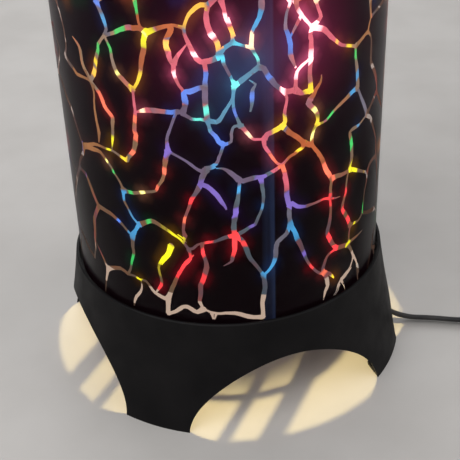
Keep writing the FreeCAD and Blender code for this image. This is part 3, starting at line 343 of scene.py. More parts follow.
def solid_finish(name, colour, roughness, metallic=0.0, gloss=0.5):
    """A finish of one Principled shader, with its plain values on the shader."""
    finish = bpy.data.materials.new(name)
    finish.use_nodes = True
    tree = finish.node_tree
    shader = tree.nodes["Principled BSDF"]
    feed(tree, shader.inputs["Base Color"], colour)
    feed(tree, shader.inputs["Roughness"], roughness)
    feed(tree, shader.inputs["Metallic"], metallic)
    feed(tree, shader.inputs["Specular IOR Level"], gloss)
    return finish, tree, shader


def empty_finish(name):
    """A finish with no shader yet, its tree, and the socket that its surface goes into."""
    finish = bpy.data.materials.new(name)
    finish.use_nodes = True
    finish.node_tree.nodes.clear()
    out = add(finish.node_tree, "ShaderNodeOutputMaterial")
    return finish, finish.node_tree, out.inputs["Surface"]


# How far the roughness of these finishes strays, and the grain and depth of metal in millimetres.
MOULDED_STRAY = (-0.07, 0.09)
METAL_STRAY = (-0.08, 0.12)
METAL_GRAIN = 0.8
METAL_DEPTH = 0.012
METAL_SPOTS = 7.0


def moulded(name, colour, worn, roughness, grain=0.6, depth=0.02, cloud=18.0, gloss=0.3):
    """Moulded plastic or rubber: fine grain, cloudy gloss and rubbed patches."""
    finish, tree, shader = solid_finish(name, colour, roughness, gloss=gloss)
    patches = varied(tree, cloud, cut=(0.35, 0.7))
    feed(tree, shader.inputs["Base Color"], mix_colours(tree, patches, colour, worn))
    smears = varied(tree, cloud * 0.6, *(roughness + stray for stray in MOULDED_STRAY), (0.3, 0.75))
    feed(tree, shader.inputs["Roughness"], smears)
    roughen(tree, shader, noise(tree, grain, detail=2.0), depth)
    return finish


def metal(name, colour, tarnish, roughness, stretch=(1, 1, 1)):
    """Bare or plated metal: drawn or turned lines and a little tarnish."""
    finish, tree, shader = solid_finish(name, colour, roughness, metallic=1.0)
    spots = varied(tree, METAL_SPOTS, cut=(0.42, 0.72))
    feed(tree, shader.inputs["Base Color"], mix_colours(tree, spots, colour, tarnish))
    lines = noise(tree, METAL_GRAIN, stretch)
    worn = spread(tree, lines, 0.3, 0.7, *(roughness + stray for stray in METAL_STRAY))
    feed(tree, shader.inputs["Roughness"], worn)
    roughen(tree, shader, lines, METAL_DEPTH)
    return finish


def seam_milk_and_sheen(tree):
    """The seam's lap: milky streaks with a painted bluish glow, most along the edge of its outer layer."""
    bearing, _ = bearing_of(tree)
    across = calculate(tree, "SUBTRACT", bearing, SEAM_BEARING)
    half = math.degrees(SEAM_WIDTH / 2 / SHADE_RADIUS)
    milk = spread(tree, across, -half, half - SEAM_FULL, SEAM_THIN, 1)
    for limit in (
        spread(tree, across, half - SEAM_END[0], half - SEAM_END[1], 1, 0),
        spread(tree, across, -half - SEAM_START, -half, 0, 1),
        varied(tree, SEAM_STREAK, 0.3, 1.0, (0.35, 0.65), stretch=(1, 1, 0.02)),
        SEAM_MILK,
    ):
        milk = calculate(tree, "MULTIPLY", milk, limit)
    return milk


def clear_film_finish():
    """The shade's film, clear but for its seam's milky lap and painted glow. The print under it takes the
    gloss.
    """
    finish, tree, surface = empty_finish("clear_shade_film")
    feed(tree, surface, lit_haze(tree, (0.99, 0.99, 0.99), SEAM_SHEEN, seam_milk_and_sheen(tree), SEAM_GLOW))
    return finish


def clear_glass_finish():
    """The pivot cup's glass, which shines at its edges."""
    finish, tree, surface = empty_finish("pivot_cup_glass")
    shine = add(tree, "ShaderNodeBsdfGlossy", {"Roughness": 0.03})
    roughen(tree, shine, noise(tree, 3.0, detail=0.0), 0.05)
    facing = add(tree, "ShaderNodeLayerWeight").outputs["Facing"]
    edges = calculate(tree, "MULTIPLY_ADD", calculate(tree, "POWER", facing, 5.0), 0.86, 0.04)
    # A faint warm painted glow in the glass, for the bulb's light inside it.
    painted_glow_haze = lit_haze(tree, (0.96, 0.98, 0.97), (1.0, 0.8, 0.6), 0.02, 1.0)
    feed(tree, surface, mix_shaders(tree, edges, painted_glow_haze, shine.outputs["BSDF"]))
    return finish


def lit_glass_finish():
    """The bulb's frosted glass, glowing, and clear to the light of its own filament."""
    finish, tree, surface = empty_finish("frosted_bulb_glass")
    glow = light_of(tree, (1.0, 0.80, 0.62), varied(tree, 16.0, 7.0, 9.0))
    shadow = add(tree, "ShaderNodeLightPath").outputs["Is Shadow Ray"]
    feed(tree, surface, mix_shaders(tree, shadow, glow, clear_stuff(tree)))
    return finish


# The drum's soft ground colours, from the middle of its cool band outwards. Where a look strays,
# it has its grain in millimetres first.
GROUND_COLOURS = [
    (0.00, (0.06, 0.30, 0.44)),
    (0.18, (0.12, 0.20, 0.36)),
    (0.34, (0.34, 0.16, 0.26)),
    (0.50, (0.80, 0.16, 0.20)),
    (0.66, (0.62, 0.24, 0.10)),
    (0.82, (0.39, 0.24, 0.13)),
    (1.00, (0.28, 0.22, 0.18)),
]
BAND_MIDDLE = -104.0
BAND_HALF = 58.0
BAND_LEAN = 0.107
BAND_LEAN_FROM = 165.0
BAND_WANDER = (26.0, 28.0)
BAND_FLICKER = (7.0, 36.0)
HEM_TOP = 61.0
HEM_EDGE = 0.3
HEM_WANDER = (24.0, 12.0)
HEM_CREAM = (0.98, 0.73, 0.57)
# The strength of the hem's even painted glow.
HEM_GLOW = 0.62

# The painted glow that stands in for the bulb's light on the drum's ground, the frost in the
# cracks and the ink: the height where it is brightest, how far above and below it the glow is
# full and faint, and how strong it is there.
GLOW_RISE = 22
GLOW_HEIGHT = BULB_MIDDLE + GLOW_RISE
GROUND_REACH = (5, 95)
GROUND_GLOWS = (1.0, 0.30)
# A cloud is how the painted glow is uneven: its grain in millimetres and its low and high shares.
GROUND_GLOW_CLOUD = (9.0, 0.7, 1.2)
FROST_REACH = (10, 110)
FROST_GLOWS = (1.15, 0.6)
FROST_GLOW_CLOUD = (12.0, 0.75, 1.25)
# The colour of the frost's painted glow, and how much of the cracks' look the glowing frost takes.
FROST_GLOW_COLOUR = (0.36, 0.21, 0.15)
FROST_SHARE = 0.15
INK_REACH = (8, 85)
# The ink's painted glow colours, near the bulb and far from it.
INK_GLOW = (0.0052, 0.0010, 0.0034)
INK_GLOW_LOW = (0.0016, 0.0002, 0.0006)

# The bright patches of the drum: colour and the strength of their painted glow.
FLECK_COLOURS = {
    "hot_pink": ((1.0, 0.34, 0.38), 3.4),
    "cream": ((1.0, 0.56, 0.36), 2.2),
    "amber": ((1.0, 0.42, 0.07), 1.8),
    "yellow": ((1.0, 0.65, 0.02), 1.48),
    "sun": ((1.0, 0.90, 0.00), 1.30),
    "lemon": ((1.0, 0.88, 0.24), 2.2),
    "green": ((0.00, 1.0, 0.20), 0.72),
    "aqua": ((0.14, 1.0, 0.96), 1.25),
    "turquoise": ((0.10, 1.0, 0.85), 1.15),
    "cyan": ((0.04, 0.70, 1.0), 1.30),
    "sky": ((0.01, 0.47, 1.0), 0.82),
    "blue": ((0.06, 0.265, 1.0), 0.98),
    "lilac": ((0.30, 0.21, 1.0), 0.64),
    "red": ((1.0, 0.03, 0.045), 1.5),
    "salmon": ((1.0, 0.16, 0.085), 1.45),
    "gold": ((1.0, 0.50, 0.05), 1.6),
    "rose": ((1.0, 0.145, 0.25), 0.83),
    "rust": ((1.0, 0.19, 0.035), 0.50),
    "olive": ((1.0, 0.80, 0.01), 0.38),
    "teal": ((0.05, 0.58, 1.0), 0.55),
    "mauve": ((0.49, 0.44, 1.0), 0.185),
    "slate": ((0.50, 0.64, 1.0), 0.17),
    "bronze": ((1.0, 0.40, 0.12), 0.29),
}
# The strips of the patches in millimetres, and how their painted glow varies from patch to patch, along each
# patch and from place to place.
FLECK_WIDTH = 4.6
FLECK_LIFT = 0.22
FLECK_FILM = 0.08
FLECK_STEP = 1.2
FLECK_SKEW = 0.45
FLECK_FADE = 2.2
FLECK_FADE_SHARES = (0.15, 1)
FLECK_SHINES = (0.85, 1.2)
FLECK_END_GLOW = 0.72
FLECK_MIDDLE_GLOW = 0.5
FLECK_END_COVER = 0.05
FLECK_GRAIN = 4.0
FLECK_UNEVEN = (0.85, 1.12)
WASH_WIDTH = 8.0
WASH_LIFT = 0.12

# The patches of the rest of the drum: their colours, from the middle of its cool band outwards,
# and their sizes and spacing in millimetres.
FLECK_SEED = 5
FLECK_ORDER = [
    "sky", "turquoise", "blue", "lilac", "red", "salmon", "amber", "yellow", "lemon", "green", "sky",
]
FLECK_STRAY = 1.4
FLECK_SPACING = 10.5
FLECK_SCATTER = 0.8
FLECK_HALVES = (2.5, 7.0)
FLECK_SHARE = 0.62
FLECK_OVER_HEM = 4.0
FLECK_UNDER_TOP = 8.0
# Near the bulb's brightest height some patches take hot colours, a painted hot spot of the bulb's light, but
# not on the sides between these distances round from the front in millimetres.
HOT_BAND = 26.0
HOT_SHARE = 0.35
HOT_COLOURS = ("hot_pink", "hot_pink", "cream", "amber")
HOT_FRONT = 40.0
HOT_SIDE = 118.0

# The painted light that the patches spread over the ink near them, and the wide veils of painted
# light round some of them: tint, reach in millimetres and strength.
HALO_STEP = 3.0
HALO_REACH = 2.9
HALO_STRENGTH = 0.011
HALO_TINT = (1.0, 0.45, 0.85)
HALO_FLARE = 0.5
VEILS = {
    "hot_pink": ((0.95, 0.10, 0.30), 18.0, 0.0010),
    "aqua": ((0.02, 0.42, 1.0), 13.0, 0.009),
}


def drum_film_finish():
    """The drum's coloured film, lit from inside by painted glow: soft leaning bands, and a cream hem."""
    finish, tree, surface = empty_finish("drum_colours_painted_glow")
    bearing, height = bearing_of(tree)
    lean = calculate(tree, "MULTIPLY", calculate(tree, "SUBTRACT", height, BAND_LEAN_FROM), BAND_LEAN)
    turned = calculate(tree, "ADD", calculate(tree, "SUBTRACT", bearing, BAND_MIDDLE), lean)
    turned = calculate(tree, "ADD", turned, wander(tree, *BAND_WANDER, detail=1.0))
    turned = calculate(tree, "ADD", turned, wander(tree, *BAND_FLICKER))
    banded = calculate(tree, "DIVIDE", calculate(tree, "PINGPONG", turned, BAND_HALF), BAND_HALF)
    ramp = add(tree, "ShaderNodeValToRGB", {"Fac": banded})
    while len(ramp.color_ramp.elements) < len(GROUND_COLOURS):
        ramp.color_ramp.elements.new(0.5)
    for element, (at, colour) in zip(ramp.color_ramp.elements, GROUND_COLOURS):
        element.position = at
        element.color = (*colour, 1)
    hem_height = calculate(tree, "ADD", height, wander(tree, *HEM_WANDER))
    hem = spread(tree, hem_height, HEM_TOP - HEM_EDGE, HEM_TOP + HEM_EDGE, 1, 0)
    colour = mix_colours(tree, hem, ramp.outputs["Color"], HEM_CREAM)
    # Painted glow: strongest at the bulb's height and uneven, with the hem glowing evenly.
    glow = by_bulb(tree, height, GROUND_REACH, *GROUND_GLOWS)
    cloud = calculate(tree, "MULTIPLY", glow, varied(tree, *GROUND_GLOW_CLOUD))
    strength = calculate(tree, "MAXIMUM", cloud, calculate(tree, "MULTIPLY", hem, HEM_GLOW))
    feed(tree, surface, light_of(tree, colour, strength))
    return finish


def fleck_finish(name):
    """One colour of the drum's bright patches, a painted glow: brightest in the middle, fading at its ends.
    """
    colour, glow = FLECK_COLOURS[name]
    finish, tree, surface = empty_finish("drum_patch_" + name)
    core = piece_value(tree, "core")["Fac"]
    cover = piece_value(tree, "cover")["Fac"]
    uneven = varied(tree, FLECK_GRAIN, *(glow * share for share in FLECK_UNEVEN))
    strength = calculate(tree, "MULTIPLY", uneven, core)
    feed(tree, surface, mix_shaders(tree, cover, clear_stuff(tree), light_of(tree, colour, strength)))
    return finish


def print_ink_finish():
    """Thick black print, with a little painted glow where the bulb and the bright patches are near."""
    finish, tree, shader = solid_finish("print_ink_painted_glow", (0.0014, 0.0012, 0.0014), 0.3, gloss=0.05)
    ink = mix_colours(tree, varied(tree, 9.0), (0.0010, 0.0008, 0.0010), (0.0022, 0.0016, 0.0020))
    feed(tree, shader.inputs["Base Color"], ink)
    _, height = bearing_of(tree)
    # The ink's painted glow by the bulb's height, and the painted halo of the patches.
    glow_veil = mix_colours(tree, by_bulb(tree, height, INK_REACH, 0, 1), INK_GLOW, INK_GLOW_LOW)
    halo = piece_value(tree, "halo")["Color"]
    lit = add(tree, "ShaderNodeVectorMath", {0: glow_veil, 1: halo}, operation="ADD")
    feed(tree, shader.inputs["Emission Color"], lit.outputs["Vector"])
    feed(tree, shader.inputs["Emission Strength"], 1.0)
    return finish


def frosted_crack_glow_finish():
    """The bare film in the cracks: clear, with a thin frost and a painted glow of the light inside."""
    finish, tree, surface = empty_finish("frosted_cracks_painted_glow")
    _, height = bearing_of(tree)
    lit = by_bulb(tree, height, FROST_REACH, *FROST_GLOWS)
    strength = calculate(tree, "MULTIPLY", lit, varied(tree, *FROST_GLOW_CLOUD))
    feed(tree, surface, lit_haze(tree, (1, 1, 1), FROST_GLOW_COLOUR, FROST_SHARE, strength))
    return finish


FINISHES = {
    "base_plastic": moulded(
        "black_base_plastic", (0.0036, 0.0032, 0.0036), (0.007, 0.0062, 0.0065), 0.52, gloss=0.11
    ),
    "deck_plastic": moulded("heat_proof_deck_plastic", (0.016, 0.014, 0.013), (0.030, 0.024, 0.020), 0.50),
    "phenolic": moulded("holder_phenolic", (0.018, 0.014, 0.012), (0.035, 0.024, 0.018), 0.30, grain=1.5),
    "zinc_steel": metal("zinc_plated_steel", (0.62, 0.62, 0.60), (0.45, 0.43, 0.38), 0.32),
    "brass": metal("brass", (0.80, 0.58, 0.26), (0.45, 0.30, 0.14), 0.28, (0.2, 0.2, 2)),
    "cap_aluminium": metal("bulb_cap_aluminium", (0.80, 0.80, 0.82), (0.60, 0.60, 0.60), 0.30, (0.1, 0.1, 2)),
    "filament": metal("filament_tungsten", (0.55, 0.50, 0.45), (0.90, 0.55, 0.25), 0.45),
    "wire_steel": metal("frame_wire_steel", (0.56, 0.56, 0.57), (0.35, 0.32, 0.30), 0.30),
    "fan_foil": metal("fan_foil", (0.86, 0.87, 0.88), (0.70, 0.70, 0.72), 0.26, (3, 0.3, 0.3)),
    "cap_plastic": moulded("black_cap_plastic", (0.013, 0.012, 0.013), (0.024, 0.021, 0.021), 0.44),
    "switch_black": moulded(
        "switch_plastic", (0.014, 0.013, 0.014), (0.040, 0.037, 0.036), 0.36, 0.45, 0.015, 9.0
    ),
    "plug_black": moulded("plug_vinyl", (0.015, 0.014, 0.015), (0.035, 0.032, 0.031), 0.46, 0.4, 0.02, 8.0),
    "cord_black": moulded("cord_vinyl", (0.016, 0.015, 0.016), (0.034, 0.031, 0.030), 0.40, 0.5, 0.015, 10.0),
    "relief_rubber": moulded(
        "relief_rubber", (0.018, 0.017, 0.017), (0.036, 0.034, 0.033), 0.62, 0.3, 0.03, 6.0
    ),
    "drum_film": drum_film_finish(),
    "bulb_glass": lit_glass_finish(),
    "cup_glass": clear_glass_finish(),
    "shade_film": clear_film_finish(),
}


def dress_nodes():
    """Every CAD node takes the finish of its slot in the record."""
    for piece in nodes.values():
        for slot in piece.material_slots:
            kind = slot.material.name.split(".")[0]
            slot.material = FINISHES.get(kind, FINISHES["base_plastic"])


# The cord.


def line_points(name, points):
    """Points along one smooth spline that has the cord's own points as its control points."""
    curve = bpy.data.curves.new(name, "CURVE")
    curve.dimensions = "3D"
    curve.resolution_u = CORD_LINE_STEPS
    spline = curve.splines.new("NURBS")
    spline.points.add(len(points) - 1)
    for knot, point in zip(spline.points, points):
        knot.co = (*metres(point), 1)
    spline.order_u = CORD_LINE_ORDER
    spline.use_endpoint_u = True
    guide = bpy.data.objects.new(name, curve)
    line = bpy.data.meshes.new_from_object(guide)
    path = [vertex.co.copy() for vertex in line.vertices]
    bpy.data.objects.remove(guide)
    bpy.data.meshes.remove(line)
    bpy.data.curves.remove(curve)
    return path


def twin_profile():
    """The outline of flat twin cord: two round cores side by side, with a groove between."""
    outline = []
    for side in (1, -1):
        for step in range(CORD_ARC_POINTS):
            turn = math.radians(CORD_ARC * (step / (CORD_ARC_POINTS - 1) - 0.5))
            across = side * CORD_CORE * (1 + math.cos(turn))
            outline.append(Vector((across, side * CORD_CORE * math.sin(turn))))
    return outline


def twin_cord(name, points, tilts):
    """Flat twin cord swept along its line, its flat side turned by the tilts from end to end."""
    path = line_points(name + "_line", points)
    shape = bmesh.new()
    outline = twin_profile()
    last = None
    count = len(path)
    for i, at in enumerate(path):
        ahead = (path[min(i + 1, count - 1)] - path[max(i - 1, 0)]).normalized()
        flat = ahead.cross(Vector((0, 0, 1))).normalized()
        share = i / (count - 1) * (len(tilts) - 1)
        step = min(int(share), len(tilts) - 2)
        tilt = tilts[step] + (tilts[step + 1] - tilts[step]) * (share - step)
        flat = Matrix.Rotation(math.radians(tilt), 3, ahead) @ flat
        rise = flat.cross(ahead)
        ring = [shape.verts.new(at + (flat * p.x + rise * p.y) * MM) for p in outline]
        edges = [shape.edges.new((ring[k], ring[(k + 1) % len(ring)])) for k in range(len(ring))]
        if last:
            bmesh.ops.bridge_loops(shape, edges=last + edges)
        else:
            first = edges
        last = edges
    bmesh.ops.edgeloop_fill(shape, edges=first)
    bmesh.ops.edgeloop_fill(shape, edges=last)
    bmesh.ops.recalc_face_normals(shape, faces=shape.faces)
    piece = mesh_piece(name, shape, "base", [FINISHES["cord_black"]])
    return piece, path


def coil_points():
    middle = Vector((*COIL_MIDDLE, 0))
    count = int(COIL_TURNS * COIL_POINTS_A_TURN)
    points = []
    for i in range(count + 1):
        turn = COIL_TURNS * i / count
        from_middle = turn - COIL_TURNS / 2
        radius = COIL_INNER_RADIUS + COIL_STEP * math.hypot(from_middle, COIL_SMOOTH)
        climb = min(max(from_middle / COIL_CLIMB_TURNS + 0.5, 0), 1)
        height = CORD_WIDTH / 2 + COIL_STEP * climb * climb * (3 - 2 * climb)
        points.append(middle + radius * direction(COIL_START + 360 * turn) + Vector((0, 0, height)))
    start = points[0] + COIL_STRAIGHT_END * Vector((-1, 0, 0))
    end = points[-1] + COIL_STRAIGHT_END * Vector((0, 1, 0))
    return [start] + points + [end]


def lay_cord(name, node, points, tilts):
    """One length of the cord, in place of its CAD node."""
    cord, path = twin_cord(name, points, tilts)
    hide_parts(node)


def lay_cords():
    lay_cord(
        "lamp_cord", "cord_lead", LEAD_POINTS, LEAD_TILTS,
    )
    lay_cord(
        "switch_cord", "cord_link", LINK_POINTS, LINK_TILTS,
    )
    lay_cord(
        "coiled_cord", "cord_coil", coil_points(), COIL_TILTS,
    )
    lay_cord(
        "plug_cord", "cord_tail", TAIL_POINTS, TAIL_TILTS,
    )


# The cracks in the print that the picture shows, each a line of points picked on it.
# A point is (pixels right, pixels down). Lines meet at the forks, which have names.

FORK_LEFT_TOP = (90, 80.3)
FORK_UPPER = (104, 35.5)
FORK_RIBBON = (132.4, 89.8)
FORK_BRIGHT = (145.5, 32)
FORK_CROWN = (183.5, 28)
FORK_ROUND = (185, 99.5)
FORK_SHOULDER = (84, 145.6)
FORK_HOOK = (127, 160.6)
FORK_KNEE = (123, 190)
FORK_SIDE = (79.5, 167)
FORK_LACE = (98.5, 206)
FORK_HIP = (139, 224.6)
FORK_DIP = (132.3, 236)
FORK_YELLOW = (188.5, 249)
FORK_TWIG = (94.8, 257)
FORK_FOOT = (128, 274)
FORK_ANKLE = (108, 268.4)
FORK_SOLE = (168, 299)
FORK_PALM = (182, 113)
FORK_WAIST = (168, 151.3)
FORK_SPARK = (218.5, 57)
FORK_FLAME = (233, 42.5)
FORK_ARROW = (251, 47)
FORK_STEM = (234, 86)
FORK_WING = (258.3, 67)
FORK_NECK = (284.5, 92)
FORK_FIST = (207.5, 121)
FORK_ELBOW = (240.5, 126)
FORK_LEAF = (264, 139.5)
FORK_CHIN = (282.8, 126)
FORK_WRIST = (282, 165.5)
FORK_HEART = (223.5, 144.5)
FORK_DELTA = (206, 169.6)
FORK_BUD = (239.5, 180)
FORK_STAR = (235, 236)
FORK_BAY = (263.5, 275)
FORK_THUMB = (185, 236)
FORK_NIB = (202, 243.7)
FORK_LOW = (203.5, 309)
FORK_TOP_RIGHT = (312.5, 27)
FORK_ROOF = (356, 46)
FORK_ROOF_EDGE = (368.3, 31.7)
FORK_HORN = (371.3, 16.5)
FORK_BASKET = (295.5, 90)
FORK_CORNER = (310.6, 91)
FORK_CHEEK = (311, 58)
FORK_GATE = (357.6, 87.5)
FORK_FENCE = (376.6, 91)
FORK_CROSS = (366.8, 114)
FORK_YOKE = (311.5, 144.5)
FORK_BRANCH = (316.8, 125)
FORK_STRAP = (304, 142.7)
FORK_CLASP = (332, 178.6)
FORK_BUCKLE = (349, 170)
FORK_EDGE = (375.7, 155.7)
FORK_BELT = (367.3, 172.5)
FORK_SASH = (330, 198.2)
FORK_PURSE = (336.5, 248.4)
FORK_STITCH = (348, 244.5)
FORK_THREAD = (350.2, 226)
FORK_LOOP = (362.2, 212.5)
FORK_ROOT = (324.4, 273)
FORK_TASSEL = (353.3, 256)
FORK_FRINGE = (341.2, 279.6)
FORK_REED = (371.6, 245.5)
FORK_DRIFT = (289.5, 206)
FORK_STREAM = (290.4, 224.5)

CRACKS_LEFT = [
    [(46, 8), (47, 18), (50, 33), (55, 48), (58, 55)],
    [(53, 24), (56, 37), (59, 47), (59, 55), (59, 64), (58, 71), (54, 69)],
    [(56, 0), (60, 14), (63, 26), (65, 37), (66, 47), (65, 55)],
    [(65, 55), (69, 62.5), (74, 69.5), (77, 74), (83, 77), FORK_LEFT_TOP],
    [(72, 36), (77, 43), (80, 50), (81.5, 60), (84, 68), (87.6, 74.7), FORK_LEFT_TOP],
    [(59, 72), (63, 84), (66, 95), (71, 107), (74.5, 119), (78, 130.5), (81, 140), FORK_SHOULDER],
    [(95.5, 0), (99.7, 10), (103.5, 20), (106, 29), FORK_UPPER],
    [FORK_UPPER, (98, 44), (98, 49.5), (96, 58), (95, 65), (93.7, 74), FORK_LEFT_TOP],
    [FORK_UPPER, (110, 48.5), (111.4, 57), (113.3, 64.4), (117, 73), (122, 79), (128.7, 86), FORK_RIBBON],
    [FORK_UPPER, (113.7, 32.7), (119.3, 30), (126, 27.5), (133, 28), (139, 28.5), FORK_BRIGHT],
    [(134.3, 0), (136, 8.4), (137.5, 17), (139.5, 26), FORK_BRIGHT],
    [FORK_BRIGHT, (143.6, 41), (143.6, 48.5), (142, 56), (141, 65), (140, 74), (137, 83), FORK_RIBBON],
    [FORK_BRIGHT, (153, 30), (161, 27.5), (169, 25.7), (175, 25.5), FORK_CROWN],
    [FORK_RIBBON, (133.5, 99), (134.3, 106), (135.2, 112), (134.6, 123), (134.3, 130.5), (135.7, 135),
     (135.2, 143.5), (133.3, 151), (128.7, 156.6), FORK_HOOK],
    [(170, 27), (170, 31), (166.5, 38), (165.5, 45), (168, 52), (170, 60), (173.4, 65), (173.3, 72),
     (175.5, 79), (179, 86), (183.6, 91.5), FORK_ROUND],
    [(186.9, 44), (181.7, 50.4), (176, 58), (173.3, 64.4)],
    [FORK_LEFT_TOP, (93.7, 91.5), (94, 101), (94.6, 109), (96.5, 121), (98.8, 132), (98.8, 142.6)],
    [FORK_LEFT_TOP, (98.8, 92.4), (102.5, 101), (104.4, 106), (109, 112.7), (112.3, 117.4),
     (112.3, 124), (112.8, 132), (112.3, 142), (111.9, 151)],
    [(135, 112.5), (146.5, 110), (155, 110.8), (161.3, 111.4), (171.5, 112.7), (177, 111.3), FORK_PALM],
    [FORK_SHOULDER, (94, 144), (100.7, 146.3), (107, 149), (112.8, 151), (119.3, 155.7), FORK_HOOK],
    [FORK_SHOULDER, (92.3, 148.7), (98.8, 151), (102.5, 154.7), (107.2, 161.7), (111, 167),
     (113.7, 172.5), (117.5, 178), (121.2, 184.6), FORK_KNEE],
    [FORK_WAIST, (166, 156.6), (164.6, 166), (164, 173.4), (162.3, 180), (157.6, 186.5), (155.7, 191),
     (147.3, 192), (140.8, 192.5), (133.3, 193), FORK_KNEE],
    [FORK_KNEE, (124, 200.5), (127.3, 207), (129.5, 211.5), (133.7, 219), FORK_HIP],
    [FORK_SHOULDER, (83, 153), (80, 160.3), FORK_SIDE],
    [FORK_SIDE, (76.9, 179), (75.9, 188), (75.9, 197.7), (76.5, 206), (77.7, 216), (80, 226.4),
     (83.3, 234), (87, 243), (90.8, 250.7), FORK_TWIG],
    [FORK_SIDE, (85.7, 174.3), (89.5, 183.7), (93, 193), FORK_LACE],
    [(64.7, 135), (68, 147.3), (71.3, 158.5), (75.9, 169.7)],
    [(67, 153), (69, 165)],
    [(81, 231), (81.5, 242), (81.5, 253.5), (83, 264.7)],
    [FORK_LACE, (94.5, 218), (95, 229), (95, 240.4), (95.5, 248), FORK_TWIG],
    [FORK_LACE, (106.7, 211), (112.3, 215), (118, 220), (123.5, 226), (128.6, 232), FORK_DIP],
    [FORK_HIP, FORK_DIP],
    [(137.2, 226), (135, 231), (131.8, 237)],
    [FORK_HIP, (148.7, 221.3), (154.3, 221.7), (161.7, 226.4), (167.3, 230), (173.9, 234.8),
     (180.4, 239.5), FORK_YELLOW],
    [FORK_DIP, (132.8, 247), (133.7, 253.5), (131.9, 261), (130.5, 269), FORK_FOOT],
    [(95.9, 241.3), (99.2, 248.8), (103.4, 258), FORK_ANKLE],
    [FORK_ANKLE, (106.2, 280.5), (105.7, 291.7)],
    [FORK_ANKLE, (112.3, 268), (120.7, 268.4), FORK_FOOT],
    [FORK_FOOT, (134.7, 276), (140.3, 279.6), (145.9, 281), (150.5, 287), (155.2, 292.7),
     (162.7, 297.3), FORK_SOLE],
    [(140.8, 280), (142, 286), (140.7, 291.7), (136.5, 296.4), (134.7, 301), (134.2, 305.7)],
    [(170.6, 245), (168.3, 252.5), (163.6, 258), (159, 264.7), (159.4, 272), (161.3, 278.7),
     (161.3, 285), (155.8, 292.6)],
    [(171.6, 246), (170, 252.8), (166, 259), (161.5, 265)],
    [(177.5, 234.5), (182, 237.6), (186.6, 243)],
    [(193.8, 255), (188.8, 259.6), (183.4, 265.6), (178.8, 273.6)],
    [FORK_YELLOW, (190.8, 259), (185.2, 264.7), (179.6, 273), (176.8, 277.7), (174, 284.3),
     (171.2, 290.8), FORK_SOLE],
    [FORK_SOLE, (168.3, 305), (168.2, 313.5)],
    [(168.2, 313.5), (173, 312.3), (177.7, 310.4), (182.4, 307.1), (187.1, 306.7), (191.7, 309),
     (197.3, 312), FORK_LOW],
]

